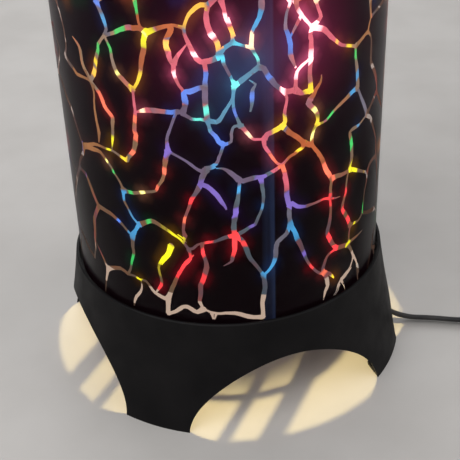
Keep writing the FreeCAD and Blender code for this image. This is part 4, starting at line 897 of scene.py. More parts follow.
CRACKS_MIDDLE = [
    [FORK_CROWN, (185.5, 21.5), (189.2, 14), (194.8, 8.4), (200.4, 4.7), (208, 5), (212.5, 0)],
    [(208, 5), (206, 14), (206.5, 22.4), (208.8, 30), (212, 35.5), (215.3, 40), (218, 45.7), FORK_SPARK],
    [FORK_CROWN, (184.5, 34.5), (187.3, 41), (192, 50.4), (194.8, 56), (198.5, 60.7), (202.3, 62),
     (209.7, 61), FORK_SPARK],
    [FORK_ROUND, (183.6, 92), (189.2, 92), (194.8, 89.6), (201, 87.7), (205, 88.7)],
    [(204, 62.5), (205, 67), (206, 73.7), (205, 82), (205, 89.6), (205, 98), (205.5, 105.5),
     (206.5, 112), FORK_FIST],
    [FORK_ROUND, (184.5, 107.3), FORK_PALM],
    [(221, 0), (223.7, 9.3), (226, 18.7), (229.3, 27), (232, 33.6), FORK_FLAME],
    [(228.4, 17), (230.2, 23), (232.2, 29.5), (235, 36.5)],
    [(253.6, 34), (253, 41), (252.8, 49)],
    [(258.4, 18.5), (256, 23.6), (253.4, 29)],
    [(230.6, 79.4), (236.4, 83.2), (232, 89.4)],
    [(280.6, 90.2), (284, 94.6), (287.6, 91.6)],
    [FORK_FLAME, (223.7, 48.5), FORK_SPARK],
    [FORK_FLAME, (243.3, 45.7), FORK_ARROW],
    [FORK_ARROW, (251.7, 32.7), (255.5, 25), (259.2, 17.7), (261.5, 9.3), (261.5, 0)],
    [FORK_SPARK, (222, 56), (223.7, 63.5), (227.5, 71), (231, 77.5), FORK_STEM],
    [FORK_ARROW, (254.5, 53.2), (258.3, 59.7), FORK_WING],
    [FORK_WING, (251.7, 72.8), (244.3, 78.4), (238.7, 83), FORK_STEM],
    [FORK_STEM, (233, 97), (229.3, 104.3), (224.7, 111.8), (221, 118.3), (216.3, 122), FORK_FIST],
    [FORK_WING, (264, 69), (267.5, 74.7), (271.2, 79.3), (275.9, 84.9), FORK_NECK],
    [(249, 80), (255.5, 84.5), (252.7, 89.6), (252.2, 98), (251.7, 105.5), (250.3, 112)],
    [FORK_NECK, (286.8, 98), (286.1, 104.5), (284.7, 113.7), (285.2, 121), FORK_CHIN],
    [FORK_STEM, (233, 100), (234, 110), (236.8, 117.4), FORK_ELBOW],
    [(289.9, 0), (289.9, 3.7), (287.1, 12.1), (285.7, 20.5), (285.7, 28.9), (288.9, 36.4),
     (290.3, 44.8), (290.8, 54.1), (292.7, 60.7), (296, 68)],
    [FORK_PALM, (176, 113.7), (171.5, 124.9), (168.7, 132.3), (166.8, 139.8), FORK_WAIST],
    [FORK_PALM, (192, 119.3), (200.4, 119.3), FORK_FIST],
    [FORK_FIST, (210.7, 131.4), (215.3, 136), (219, 141.7), FORK_HEART],
    [FORK_HEART, (231.2, 141.7), (231.2, 134), (233, 127.7), (236.5, 126), FORK_ELBOW],
    [FORK_ELBOW, (244.3, 129.5), (248, 134.2), (252.7, 139), (257.3, 139.3), FORK_LEAF],
    [FORK_LEAF, (267.6, 134), (272.1, 132.3), (276.8, 129.5), FORK_CHIN],
    [FORK_LEAF, (264.7, 146.3), (269.3, 152.9), (273.1, 158.5), (276.8, 163), FORK_WRIST],
    [FORK_STRAP, (302.9, 147.3), (298.3, 150.5), (294.5, 153.8), (288.9, 157.5), FORK_WRIST],
    [FORK_WRIST, (275.9, 169.7), (269.3, 173.4), (264.7, 176.2), (260, 177.4), (254.5, 177.6),
     (243.3, 181), FORK_BUD],
    [FORK_WRIST, (284.7, 172), (285.2, 177.1), (286.6, 184.6), (286.8, 192.1), (287.6, 198.5), FORK_DRIFT],
    [FORK_HEART, (221.4, 151), (219, 157.5), (216.3, 164), FORK_DELTA],
    [(216, 168.5), (222.8, 168.7), (230.3, 172.5), FORK_BUD],
    [FORK_DELTA, (216, 167.5)],
    [FORK_WAIST, (178, 156.6), (187.3, 162), (194.8, 167.8), (201.3, 171.2), FORK_DELTA],
    [FORK_DELTA, (202.3, 177), (200.5, 183.5), (197.8, 190), (191.7, 199.3), (188.9, 207.7),
     (184.7, 218.9), (183.3, 230.1), FORK_THUMB],
    [(200.5, 184.5), (207, 186.5), (214.1, 192.2), (219.7, 199.3), (224.4, 205.9), (226.6, 210)],
    [FORK_BUD, (238.9, 190), (237.9, 199.3), (236.1, 206.8), (236.1, 212.4), (234.7, 218),
     (233.7, 227.3), FORK_STAR],
    [(261, 177.4), (262, 184), (262.9, 190), (263.6, 197.5), (262.7, 205.9), (260.8, 211.5), (258, 218),
     (255.2, 224.5), (249.6, 227.3), (244, 231.1), FORK_STAR],
    [FORK_YELLOW, (193, 248.5), (197.3, 245), FORK_NIB, (208.5, 242.3), (214.1, 241.8), (220.7, 239.5),
     (227.2, 236.8), FORK_STAR],
    [FORK_NIB, (203, 253.5), (205.7, 260.9), (206.7, 267.5), (203.9, 277.7), (201, 285.2), (201, 292.7),
     (199.6, 300.1), (201, 304.8), FORK_LOW],
    [FORK_LOW, (210.4, 312), (217.9, 313.7), (225.3, 313.2), (234.7, 313.2), (241.2, 314.6),
     (248.7, 316.5), (258, 317.4), (263, 316.9)],
    [(211.8, 313), (213.4, 319.4)],
    [(216.4, 313.6), (214.6, 319.4)],
    [FORK_BAY, (265, 283.3), (264.5, 292.7), (262.4, 302.9), (263.1, 310.4), (263, 316.9)],
    [FORK_STAR, (234.7, 240.4), (234.7, 249.7), (232.8, 256.3), (231.9, 260.9), (228.1, 263.7),
     (223.5, 266.1)],
    [FORK_STAR, (241.2, 239.5), (244, 244.1), (246.8, 249.7), (249.6, 257.2), (253.3, 261.9),
     (258, 267.5), FORK_BAY],
    [FORK_BAY, (268.3, 271.2), (272.9, 264.7), (275.3, 258.1), (275.7, 253.5), (276.2, 247.9),
     (277.6, 242.3), (282.3, 237.6), (286.9, 232.9), FORK_STREAM],
    [FORK_THUMB, (183, 228)],
    [FORK_THUMB, (184, 243)],
]

CRACKS_RIGHT = [
    [(295.5, 0), (297.3, 7.5), (301.1, 14), (305.7, 19.6), FORK_TOP_RIGHT],
    [(301.1, 15), (298.3, 21.5), (294.5, 28.9), (290.4, 37.5)],
    [(316, 0), (318.8, 9.3), (321.1, 16.8), (316.9, 22.4), FORK_TOP_RIGHT],
    [FORK_TOP_RIGHT, (319.7, 28), (325.3, 30.5), (330.9, 36.4), (336.5, 41.1), (342.1, 45.2),
     (348.7, 45.7), FORK_ROOF],
    [FORK_TOP_RIGHT, (310.4, 34.5), (311.3, 40.1), (311.3, 49.5), FORK_CHEEK],
    [FORK_CHEEK, (306.7, 61.6), (301.1, 66.3), (297.3, 71.9), (295.9, 77.5), (295.9, 82.1), FORK_BASKET],
    [FORK_CHEEK, (310.4, 65.3), (309.9, 74.7), (310.4, 81.2), FORK_CORNER],
    [FORK_CORNER, (304.8, 92), (301.1, 93), FORK_BASKET],
    [FORK_BASKET, (289.9, 91), FORK_NECK],
    [(321.6, 74.7), (320.7, 82.1), (316, 89.6), (313.2, 95.2), (310.4, 100)],
    [FORK_CORNER, (315.5, 91.5)],
    [(310.4, 100), (308.2, 103), (311.5, 106.5), (315.1, 109.9), (317.4, 114.6), (317.9, 119.3),
     FORK_BRANCH],
    [FORK_BRANCH, (314.1, 129.5), (312.3, 136.1), FORK_YOKE],
    [FORK_BRANCH, (321.6, 123), (326.3, 120.2), (330.9, 114.6), (334.7, 109.9), (340.3, 104.3),
     (345.9, 98.7), (353.3, 91), FORK_GATE],
    [FORK_ROOF, (361.7, 39.2), (365.5, 34.5), FORK_ROOF_EDGE],
    [FORK_ROOF_EDGE, (369.2, 25.2), FORK_HORN],
    [FORK_HORN, (370.6, 7.5), (370.6, 0)],
    [FORK_HORN, (374.8, 12.1), (379.5, 6.5), (383.2, 0)],
    [FORK_ROOF_EDGE, (371.1, 36.4), (371.5, 44.8), (371.1, 54.1), (371.1, 61.6), (373.4, 68.1),
     (375.7, 75.6), (376.7, 84), FORK_FENCE],
    [FORK_FENCE, (373.9, 98), (371.1, 104.5), FORK_CROSS],
    [FORK_FENCE, (379, 98.9), (381.3, 106.4)],
    [FORK_ROOF, (355.7, 52.3), (356.1, 59.7), (357.1, 67.2), (357.5, 74.7), (358, 82.1), FORK_GATE],
    [FORK_GATE, (361.2, 97), (364.5, 105.5), FORK_CROSS],
    [FORK_CROSS, (362.7, 120.2), (358, 125.8), (353.3, 128.6), (350, 132.3), (350.5, 137),
     (351.5, 142.6), (351.9, 149.1), (351.9, 156.6), (350.5, 164.1), FORK_BUCKLE],
    [FORK_CROSS, (371.1, 119.3), (373.9, 129.5), (375.7, 137.9), (375.7, 147.3), FORK_EDGE],
    [FORK_EDGE, (372.9, 158.5), (369.2, 165), FORK_BELT],
    [FORK_BELT, (366.4, 181.8), (364.5, 191.1), (363.6, 200.5), FORK_LOOP],
    [FORK_EDGE, (376.7, 165), (376.7, 179), (375.7, 193), (374.8, 207)],
    [(374.8, 207), (375.7, 214.3), (374.8, 224.5), (372.9, 233.9), FORK_REED],
    [FORK_REED, (370.1, 253.5), (368.3, 262.8), (367.3, 269.3)],
    [FORK_REED, (373.5, 251), (373.8, 259.1)],
    [(371.6, 246.5), (375.2, 246.5), (378, 243.2)],
    [FORK_LOOP, (368.3, 211.8), (374.6, 207.7)],
    [FORK_BUCKLE, (353.3, 169.7), (359.9, 170.6), FORK_BELT],
    [FORK_CLASP, (335.6, 176.7), (341.2, 174.8), (345.9, 172.5), FORK_BUCKLE],
    [FORK_BUCKLE, (347.7, 175.3), (346.3, 184.6), (345.9, 192.1), (344, 199.5), (342.1, 208.7),
     (344.9, 213.3), (347.7, 218.9), FORK_THREAD],
    [FORK_CHIN, (287.1, 130.5), (291.7, 133.8), (297.3, 137), FORK_STRAP],
    [FORK_STRAP, (308, 144), FORK_YOKE],
    [FORK_YOKE, (316, 150.1), (318.8, 153.8), (322.5, 160.3), (325.3, 167.8), (329.1, 174.3), FORK_CLASP],
    [FORK_CLASP, (330.7, 187.4), (330.7, 193.9), FORK_SASH],
    [FORK_SASH, (335.6, 198.1), (340.3, 196.3)],
    [FORK_DRIFT, (291.7, 203.3), (297.3, 206.5), (304.8, 206.5), (310.4, 204.7), (317.9, 201.9),
     (323.5, 199), FORK_SASH],
    [FORK_SASH, (330.9, 206.8), (330.5, 216.1), (329.1, 224.5), (327.2, 232.9), (329.1, 237.6),
     (332.8, 244.1), FORK_PURSE],
    [FORK_PURSE, (331.9, 251.6), (327.2, 256.3), (324.4, 263.7), (323, 270), FORK_ROOT],
    [FORK_PURSE, (340.3, 246.9), FORK_STITCH],
    [FORK_STITCH, (348.7, 240.4), (349.1, 232.9), FORK_THREAD],
    [FORK_THREAD, (353.3, 223.2), (358, 220.8), (360.8, 216.1), FORK_LOOP],
    [FORK_STITCH, (351.5, 240.4), (357.1, 235.7), (362.7, 229.7)],
    [FORK_STITCH, (350.5, 248.5), FORK_TASSEL],
    [FORK_TASSEL, (356.1, 260.9), (357.1, 269.3), (357.5, 276.8), (358, 280.5)],
    [FORK_TASSEL, (350.5, 266.5), (345.9, 273.1), FORK_FRINGE],
    [FORK_FRINGE, (338.4, 284.3), (336.5, 290.8), (333.7, 295.5)],
    [FORK_FRINGE, (344, 285.2), (344.9, 289.9)],
    [(354.8, 258.5), (357.8, 266), (358.6, 273)],
    [(351.6, 267.2), (347.2, 273.6), (342.6, 279.6)],
    [(339.6, 284.6), (337.8, 290.6), (335, 295.2)],
    [FORK_ROOT, (319.7, 273.1), (315.1, 270.3), (311.3, 266.5), (308.5, 262.8), (305.7, 257.2),
     (302.9, 250.7), (300.1, 244.1), (297.3, 238.5), (294.5, 231.1), FORK_STREAM],
    [FORK_DRIFT, (289.3, 212), (289.7, 218), FORK_STREAM],
    [FORK_ROOT, (330, 274), (334, 278)],
    [FORK_ROOT, (326.7, 278.7), (327.7, 285.2), (325.3, 291.7), (323.5, 300.1)],
]


# The bright patches of the drum that the picture shows through the cracks, each a stroke
# listed under its colour.

FLECKS = {
    "hot_pink": [
        [(172.5, 70), (175, 79)], [(192, 50.5), (195, 58)], [(210, 31.5), (214, 39)],
        [(224.5, 12), (227.5, 24)], [(279, 92.5), (286, 89)], [(287.5, -4), (288, 8)],
        [(298, 7), (303, 14), (309, 27), (314, 25), (321, 32)],
        [(312, 48), (310.5, 57), (302, 65), (296.5, 72), (295, 80)],
    ],
    "cream": [
        [(254.5, 31), (250.5, 41), (252, 50)], [(245, 131), (251.5, 139)], [(139, 111), (146, 109.8)],
        [(315, -4), (317, 4)],
    ],
    "lemon": [
        [(145, 37), (148, 33)], [(115, 70), (119, 76)], [(314, 105.5), (317, 112)],
        [(313, 130), (314, 138)], [(105.5, 158), (108.5, 164)], [(140, 193), (146, 192)],
    ],
    "gold": [
        [(207.5, 5), (201, 4.5), (195, 9), (189, 18), (183, 29)], [(94.5, 66), (92.5, 75)],
    ],
    "yellow": [
        [(132.5, 89), (129, 86)], [(139.5, 70), (137, 83), (132.5, 89)], [(120, 156.5), (128, 161)],
        [(96.5, 57), (95, 64)], [(286, 115), (281, 125), (271, 131)], [(310, 82), (309, 90), (303, 93)],
        [(316, 116), (315.5, 127)], [(345, 47), (352, 46)], [(331, 274), (336, 279)],
        [(300.5, 146), (295, 152)],
    ],
    "sun": [
        [(143, 48), (144.5, 38), (148, 33), (155, 29)], [(112.5, 134), (112, 147)],
        [(106, 148.5), (112, 151)], [(167, 229), (175, 235), (185, 243)],
        [(172, 244), (165, 255), (159, 264)], [(137, 275.5), (142, 281)], [(350, 163), (351, 171)],
        [(350.5, 168.5), (357, 169.5)], [(348, 240), (347, 246)], [(355, 222.5), (351, 232)],
    ],
    "amber": [
        [(167, 39), (165, 51)], [(215, 40), (219, 51)], [(229, 26), (234, 39)],
        [(335, 39), (338.5, 43)],
    ],
    "salmon": [
        [(98, 89), (103, 103), (109, 112), (112, 119)], [(135.5, 114), (134, 123)],
        [(135, 130), (135, 141)], [(134, 149), (130.5, 155)], [(155, 190), (158.5, 184)],
        [(164, 166), (164, 175)], [(184.5, 215), (184.5, 224)], [(270, 152), (277, 164)],
        [(282, 163), (285, 173)], [(322, 163), (331, 177)], [(335, 176), (331, 181)],
        [(320, 272), (325, 275)],
    ],
    "red": [
        [(191, 196), (192, 205)], [(194, 254), (186, 266), (177, 278)], [(161, 281), (160, 291)],
        [(204, 241.5), (214, 241)], [(201, 248), (205, 257)], [(205, 273), (202, 284)],
        [(231, 230), (235, 238), (235, 247), (232.5, 257)], [(241, 239.5), (244.5, 247)],
        [(346, 186), (344.5, 197)], [(320, 199.5), (331, 197.5)], [(330, 198), (330, 207)],
        [(341, 208), (344, 213)], [(346, 216), (348.5, 223)], [(309, 264), (312.5, 270)],
        [(330, 250.5), (338, 247.5)], [(326.5, 234), (331, 240)],
    ],
    "green": [
        [(134, -3), (137, 15)], [(114, 33), (126, 28)], [(108, 41), (111, 54)], [(99, 42), (97.5, 54)],
        [(112, 169), (115, 175)], [(128, 191), (134, 193)], [(145, 218), (152.5, 222)],
        [(133, 253), (131, 265)], [(356, 48), (355.5, 60)], [(333.5, 109), (326, 119)],
        [(350.5, 137), (352, 147)],
    ],
    "aqua": [
        [(253.5, 52), (258, 62)], [(230, 78), (236, 90)],
    ],
    "turquoise": [
        [(204.5, 105), (207, 116)], [(192, 118), (204, 119.5)],
    ],
    "cyan": [
        [(233, 39), (238, 42), (242, 47)], [(221, 54), (225, 63)],
    ],
    "sky": [
        [(100.5, 12), (105, 28)], [(262.5, 9), (258, 21), (251, 32)], [(210, 168), (220, 168.5)],
        [(238.5, 184), (239, 194)], [(263.5, 202), (260, 210)],
        [(274.5, 257), (270.5, 269), (262.5, 277)], [(288.5, 221), (294, 231), (297.5, 240)],
        [(123, 189), (124, 201)], [(129, 208), (133, 216), (138, 225), (132, 232), (131, 239)],
        [(357, 69), (357.5, 79)], [(355, 88), (349, 95)], [(358.5, 121), (355.5, 126)],
    ],
    "blue": [
        [(96, -3), (98, 7)], [(206, 69), (204, 85)], [(201, 89), (190, 92), (185, 97), (184, 104)],
        [(165, 111.5), (176, 112)], [(233, 107), (237, 118)], [(252, 90), (251.5, 103)],
        [(266.5, 73), (270.5, 80)], [(285, 29), (289, 42), (290, 55)],
        [(210, 131), (217, 139), (223, 143), (221.5, 150)], [(117, 218), (121, 223)],
    ],
    "lilac": [
        [(164, 144), (169, 156)], [(254, 176.5), (262.5, 178), (262, 184)],
        [(199, 179), (206, 187), (214, 193), (227, 210)], [(235.5, 207), (235, 218)],
        [(248, 228), (256, 224)], [(286, 191), (289, 202), (296, 206), (306, 207)],
        [(303, 250), (304.5, 257)],
    ],
}


# The softer patches under them, picked in the same way.

WASHES = {
    "rose": [
        [(218, -3), (221, 6), (226, 20), (231, 32)],
        [(185, 32), (191, 48), (196, 60), (204, 62), (213, 60)], [(187, 44), (180, 53), (173.5, 64)],
        [(165, 46), (168, 58), (173, 70), (177, 82), (184, 94)],
        [(207, 5), (206, 20), (209, 30), (216, 44)],
        [(244, 126), (248, 134), (256, 138.5), (264, 136), (273, 130)],
        [(264, 140), (270, 152), (277, 164), (284, 168)], [(286, 90), (286.5, 103), (285, 116)],
        [(279, 92), (287, 91), (298, 92.5), (305, 92)], [(296, 68), (297, 80), (292, 90)],
        [(297, 3), (305, 20), (312, 27), (322, 31), (336, 41), (346, 47)],
        [(312, 27), (311.5, 40), (311, 58), (310.5, 76)], [(317, -3), (321, 17), (313, 26)],
        [(284, 168), (286, 180), (287, 192)], [(135, 91), (134, 106), (135, 112), (152, 110.5)],
    ],
    "rust": [
        [(286, 129), (296, 137), (308, 146), (318, 153), (324, 165)],
        [(303, 144), (294, 153), (283, 164)], [(311, 99), (314, 93), (319, 84), (322, 75)],
        [(155, 29), (170, 26.5), (183, 28)], [(135, -3), (140, 28), (144, 36)],
        [(140, 70), (143, 56), (144, 42)],
    ],
    "olive": [
        [(313, 144), (314, 136), (316, 125), (317, 113)], [(160, 226), (168, 230)],
        [(160, 264), (161, 277)],
    ],
    "teal": [
        [(257, 62), (250, 72), (238, 82), (233, 94), (224, 112), (216, 121), (206, 119)],
        [(205, 120), (209, 130), (214, 136)], [(216, 56), (224, 48), (233, 43), (241, 45)],
    ],
    "slate": [
        [(97, 2), (101, 14), (104, 35)], [(52, 22), (57, 40), (59, 62)],
        [(358, 88), (361, 97), (366, 113)], [(371, 62), (375, 76), (376.7, 90)],
        [(376.7, 91), (371, 105), (367, 114)], [(367, 114), (371, 119), (375.7, 140)],
        [(376, 92), (381, 106)], [(290, 206), (290, 222)],
        [(289, 225), (282, 237), (276, 249), (275, 258)],
    ],
    "bronze": [
        [(84, 146), (95, 144), (107, 149)], [(84, 146), (81, 158), (79, 168), (76, 180)],
        [(84, 146), (98, 151), (107, 162)], [(90, 81), (94, 101), (98, 130), (99, 143)],
        [(68, 60), (77, 73), (90, 80)], [(66, 95), (74, 119), (84, 145)],
        [(356, 46), (366, 34), (371, 16), (371, 0)], [(372, 15), (383, 0)], [(371, 31), (371, 60)],
        [(320, 84), (322, 75)],
    ],
    "mauve": [
        [(183, 104), (185, 110), (192, 118)], [(176, 113), (170, 127), (166, 143)],
        [(168, 151), (180, 157), (194, 167), (206, 170)], [(205, 86), (205, 105)],
        [(226, 64), (231, 78)], [(258, 66), (267, 75), (279, 90)], [(220, 152), (217, 165)],
        [(220, 170), (231, 174), (240, 180), (254, 177)],
    ],
}


def in_sight(pixel, radius):
    """Where a pixel's line of sight meets a round wall: millimetres round from the front, and height."""
    across, down = pixel
    right = (across - PICTURE / 2) / LENS_PIXELS
    up = (PICTURE / 2 - down) / LENS_PIXELS
    sight = AHEAD + RIGHT * right + UPRIGHT * up
    place = CAMERA_PLACE
    a = sight.x**2 + sight.y**2
    b = sight.x * place.x + sight.y * place.y
    c = place.x**2 + place.y**2 - radius**2
    reach = (-b - math.sqrt(max(b * b - a * c, 0))) / a
    hit = place + sight * reach
    turn = (math.degrees(math.atan2(hit.y, hit.x)) - PRINT_FRONT + 180) % 360 - 180
    return Vector((math.radians(turn) * radius, hit.z))


def rolled(place, radius):
    """A flat place, millimetres round from the front and height, as a point on a round wall."""
    spot = radius * direction(PRINT_FRONT + math.degrees(place.x / radius))
    spot.z = place.y
    return spot


def is_seen(place, radius=PRINT_RADIUS):
    """Whether the picture, or a strip just above it, shows this place of a round wall."""
    sight = rolled(place, radius) - CAMERA_PLACE
    down = PICTURE / 2 - LENS_PIXELS * sight.dot(UPRIGHT) / sight.dot(AHEAD)
    return abs(math.degrees(place.x / radius)) < SEEN_ROUND and down > -SEEN_ABOVE


def smooth_line(points):
    """More points on a smooth curve through these, for a soft hand-cut edge."""
    line = []
    for i in range(len(points) - 1):
        before = points[max(i - 1, 0)]
        here, there = points[i], points[i + 1]
        after = points[min(i + 2, len(points) - 1)]
        for step in range(CRACK_ROUNDING):
            t = step / CRACK_ROUNDING
            line.append(
                0.5 * (
                    2 * here
                    + (there - before) * t
                    + (2 * before - 5 * here + 4 * there - after) * t**2
                    + (3 * here - before - 3 * there + after) * t**3
                )
            )
    return line + [points[-1]]


def spare_cells(chance):
    """Crack lines for the rest of the print, as the edges of scattered cells."""
    columns = round(2 * PRINT_HALF / CELL_WIDTH)
    width = 2 * PRINT_HALF / columns
    rows = int((SHADE_TOP - SHADE_BOTTOM) / CELL_HEIGHT) + CELL_ROWS_OVER
    seeds = []
    for column in range(columns):
        for row in range(rows):
            across = column + 0.5 + chance.uniform(-CELL_SCATTER, CELL_SCATTER)
            up = row - CELL_ROW_START + 0.5 * (column % 2) + chance.uniform(-CELL_SCATTER, CELL_SCATTER)
            seeds.append(Vector((across * width - PRINT_HALF, SHADE_BOTTOM + up * CELL_HEIGHT)))
    whole_turn = Vector((2 * PRINT_HALF, 0))
    copies = seeds + [seed + whole_turn for seed in seeds] + [seed - whole_turn for seed in seeds]
    places, _, cells, _, _, _ = delaunay_2d_cdt(copies, [], [], 0, CELL_WELD)
    middles = []
    sides = {}
    for number, cell in enumerate(cells):
        a, b, c = (places[k] for k in cell)
        d = 2 * ((b - a).x * (c - a).y - (b - a).y * (c - a).x)
        ab, ac = (b - a).length_squared, (c - a).length_squared
        middles.append(a + Vector(((c - a).y * ab - (b - a).y * ac, (b - a).x * ac - (c - a).x * ab)) / d)
        for k in range(3):
            sides.setdefault(tuple(sorted((cell[k], cell[(k + 1) % 3]))), []).append(number)
    return [[middles[number] for number in sides[pair]] for pair in sorted(sides) if len(sides[pair]) == 2]


def wavering(start, end, chance):
    """A crack from one fork to the next, never quite straight."""
    along = end - start
    aside = Vector((-along.y, along.x))
    count = max(2, round(along.length / WAVER_STEP))
    bend = chance.uniform(-WAVER_BEND, WAVER_BEND)
    line = [start]
    for i in range(1, count):
        t = i / count
        stray = bend * math.sin(math.pi * t) + chance.uniform(-WAVER_ASIDE, WAVER_ASIDE)
        line.append(start + along * t + aside * stray)
    return line + [end]


def spare_cracks(cells, chance):
    """The cells' edges that the picture doesn't show, as cracks down to the shade's lower edge."""
    cracks = []
    for start, end in cells:
        kept = chance.random() < SPARE_SHARE
        x, y = (start.x + end.x) / 2, (start.y + end.y) / 2
        if not kept or not -PRINT_HALF < x <= PRINT_HALF or not SPARE_LOW < y < SPARE_HIGH:
            continue
        if (end - start).length < SPARE_SHORTEST or is_seen(start) or is_seen(end):
            continue
        if min(start.y, end.y) < SPARE_LOW:
            upper, lower = (start, end) if start.y > end.y else (end, start)
            start = upper
            end = upper + (lower - upper) * (upper.y - SPARE_LOW) / (upper.y - lower.y)
        if max(start.y, end.y) <= SPARE_HIGH + SPARE_OVER:
            cracks.append(wavering(start, end, chance))
    return cracks


def joining_cracks(seen, forks, chance):
    """Cracks from the tips at the picture's edges on to the nearest forks outside it."""
    cracks = []
    for line in seen:
        for tip in (line[0], line[-1]):
            at_side = abs(math.degrees(tip.x / PRINT_RADIUS)) > JOIN_ROUND
            if at_side or not is_seen(tip + Vector((0, JOIN_RISE))):
                near = min(forks, key=lambda fork: (fork - tip).length)
                if (near - tip).length < JOIN_REACH:
                    cracks.append(wavering(tip, near, chance))
    return cracks


def stub_cracks(cells, chance):
    """Short cracks that leave a fork outside the picture and end loose."""
    cracks = []
    low, high = SPARE_LOW + STUB_MARGIN, SPARE_HIGH - STUB_MARGIN
    for start, end in cells:
        if chance.random() < STUB_SHARE and not is_seen(start) and low < start.y < high:
            if -PRINT_HALF < start.x < PRINT_HALF:
                away = (start - end).normalized()
                away.rotate(Matrix.Rotation(chance.uniform(-STUB_TURN, STUB_TURN), 2))
                tip = start + away * chance.uniform(*STUB_LENGTHS)
                if not is_seen(tip):
                    cracks.append(wavering(start, tip, chance))
    return cracks


def crack_lines(chance):
    """Every crack: those of the picture, and their like on the rest of the shade."""
    picked = CRACKS_LEFT + CRACKS_MIDDLE + CRACKS_RIGHT
    seen = [[in_sight(pixel, PRINT_RADIUS) for pixel in line] for line in picked]
    cells = spare_cells(chance)
    spare = spare_cracks(cells, chance)
    forks = [tip for line in spare for tip in (line[0], line[-1])]
    return seen + spare + joining_cracks(seen, forks, chance) + stub_cracks(cells, chance)


def meeting_place(point):
    """Points of two lines within the same millimetre count as one fork."""
    return round(point.x), round(point.y)


def crack_patches(lines, chance):
    """Each crack as a row of four-sided patches: torn edges, wide forks and thin loose tips."""
    meetings = Counter(meeting_place(point) for line in lines for point in line)
    patches = []
    for line in lines:
        smooth = smooth_line(line)
        loose = [meetings[meeting_place(tip)] < 2 for tip in (line[0], line[-1])]
        lengths = [0.0]
        for a, b in zip(smooth, smooth[1:]):
            lengths.append(lengths[-1] + (b - a).length)
        whole = lengths[-1]
        phase = chance.uniform(0, 2 * math.pi)
        flares = [chance.uniform(*CRACK_FLARES) for _ in range(2)]
        sides = []
        for i, point in enumerate(smooth):
            ahead = (smooth[min(i + 1, len(smooth) - 1)] - smooth[max(i - 1, 0)]).normalized()
            width = CRACK_WIDTH * (1 + CRACK_SWELL * math.sin(phase + lengths[i] / CRACK_SWELL_STEP))
            for gone, tip_is_loose, flare in zip((lengths[i], whole - lengths[i]), loose, flares):
                if tip_is_loose:
                    width *= 1 - (1 - CRACK_TIP) * max(0, 1 - gone / CRACK_TIP_REACH)
                else:
                    width *= 1 + (flare - 1) * max(0, 1 - gone / CRACK_FLARE_REACH) ** 2
            aside = Vector((-ahead.y, ahead.x)) * width / 2
            tears = [1 + chance.uniform(-CRACK_TEAR, CRACK_TEAR) for _ in range(2)]
            sides.append((point - aside * tears[0], point + aside * tears[1]))
        for (a, b), (c, d) in zip(sides, sides[1:]):
            patches.append([a, c, d, b])
        for (a, b), tip_is_loose in zip((sides[0], sides[-1]), loose):
            if not tip_is_loose:
                hub = Vector(((b - a).length / 2 * CRACK_HUB, 0))
                turns = [Matrix.Rotation(k * math.pi / 3, 2) for k in range(6)]
                patches.append([(a + b) / 2 + hub @ turn for turn in turns])
    return patches


def with_back_copies(patches):
    """The patches, and those near the sheet's two back edges once more, beyond the other edge."""
    copies = []
    for patch in patches:
        for side in (-1, 1):
            if max(side * p.x for p in patch) > PRINT_HALF - PRINT_SPARE:
                copies.append([p - Vector((side * 2 * PRINT_HALF, 0)) for p in patch])
    return patches + copies


def flat_print(patches):
    """The flat print: an even sheet of small faces, with the faces of the cracks marked."""
    low, high = SHADE_BOTTOM + PRINT_MARGIN, SHADE_TOP - PRINT_MARGIN
    left, right = -PRINT_HALF - PRINT_SPARE, PRINT_HALF + PRINT_SPARE
    below, above = low - PRINT_SPARE, high + PRINT_SPARE
    places = [Vector(p) for p in ((left, below), (right, below), (right, above), (left, above))]
    border = [(0, 1), (1, 2), (2, 3), (3, 0)]
    columns, rows = (int(span / PRINT_GRAIN) for span in (right - left, above - below))
    for row in range(1, rows):
        for column in range(1, columns):
            x = left + (column + 0.5 * (row % 2)) * PRINT_GRAIN
            places.append(Vector((x, below + row * PRINT_GRAIN)))
    faces = []
    for patch in patches:
        outline = [patch[k] for k in convex_hull_2d(patch)]
        inside = all(left < p.x < right and below < p.y < above for p in outline)
        if len(outline) > 2 and inside:
            faces.append(list(range(len(places), len(places) + len(outline))))
            places += outline
    points, _, pieces, _, _, origins = delaunay_2d_cdt(places, border, faces, 0, PRINT_WELD)
    sheet = bmesh.new()
    corners = [sheet.verts.new((p.x, 0, p.y)) for p in points]
    for piece, origin in zip(pieces, origins):
        face = sheet.faces.new([corners[k] for k in piece])
        face.material_index = 1 if origin else 0
    loose = [v for v in sheet.verts if not v.link_faces]
    bmesh.ops.delete(sheet, geom=loose, context="VERTS")
    for edge, outwards in (
        ((-PRINT_HALF, 0, 0), (-1, 0, 0)),
        ((PRINT_HALF, 0, 0), (1, 0, 0)),
        ((0, 0, low), (0, 0, -1)),
        ((0, 0, high), (0, 0, 1)),
    ):
        bmesh.ops.bisect_plane(
            sheet, geom=sheet.verts[:] + sheet.edges[:] + sheet.faces[:],
            plane_co=edge, plane_no=outwards, dist=PRINT_TRIM, clear_outer=True,
        )
    return sheet


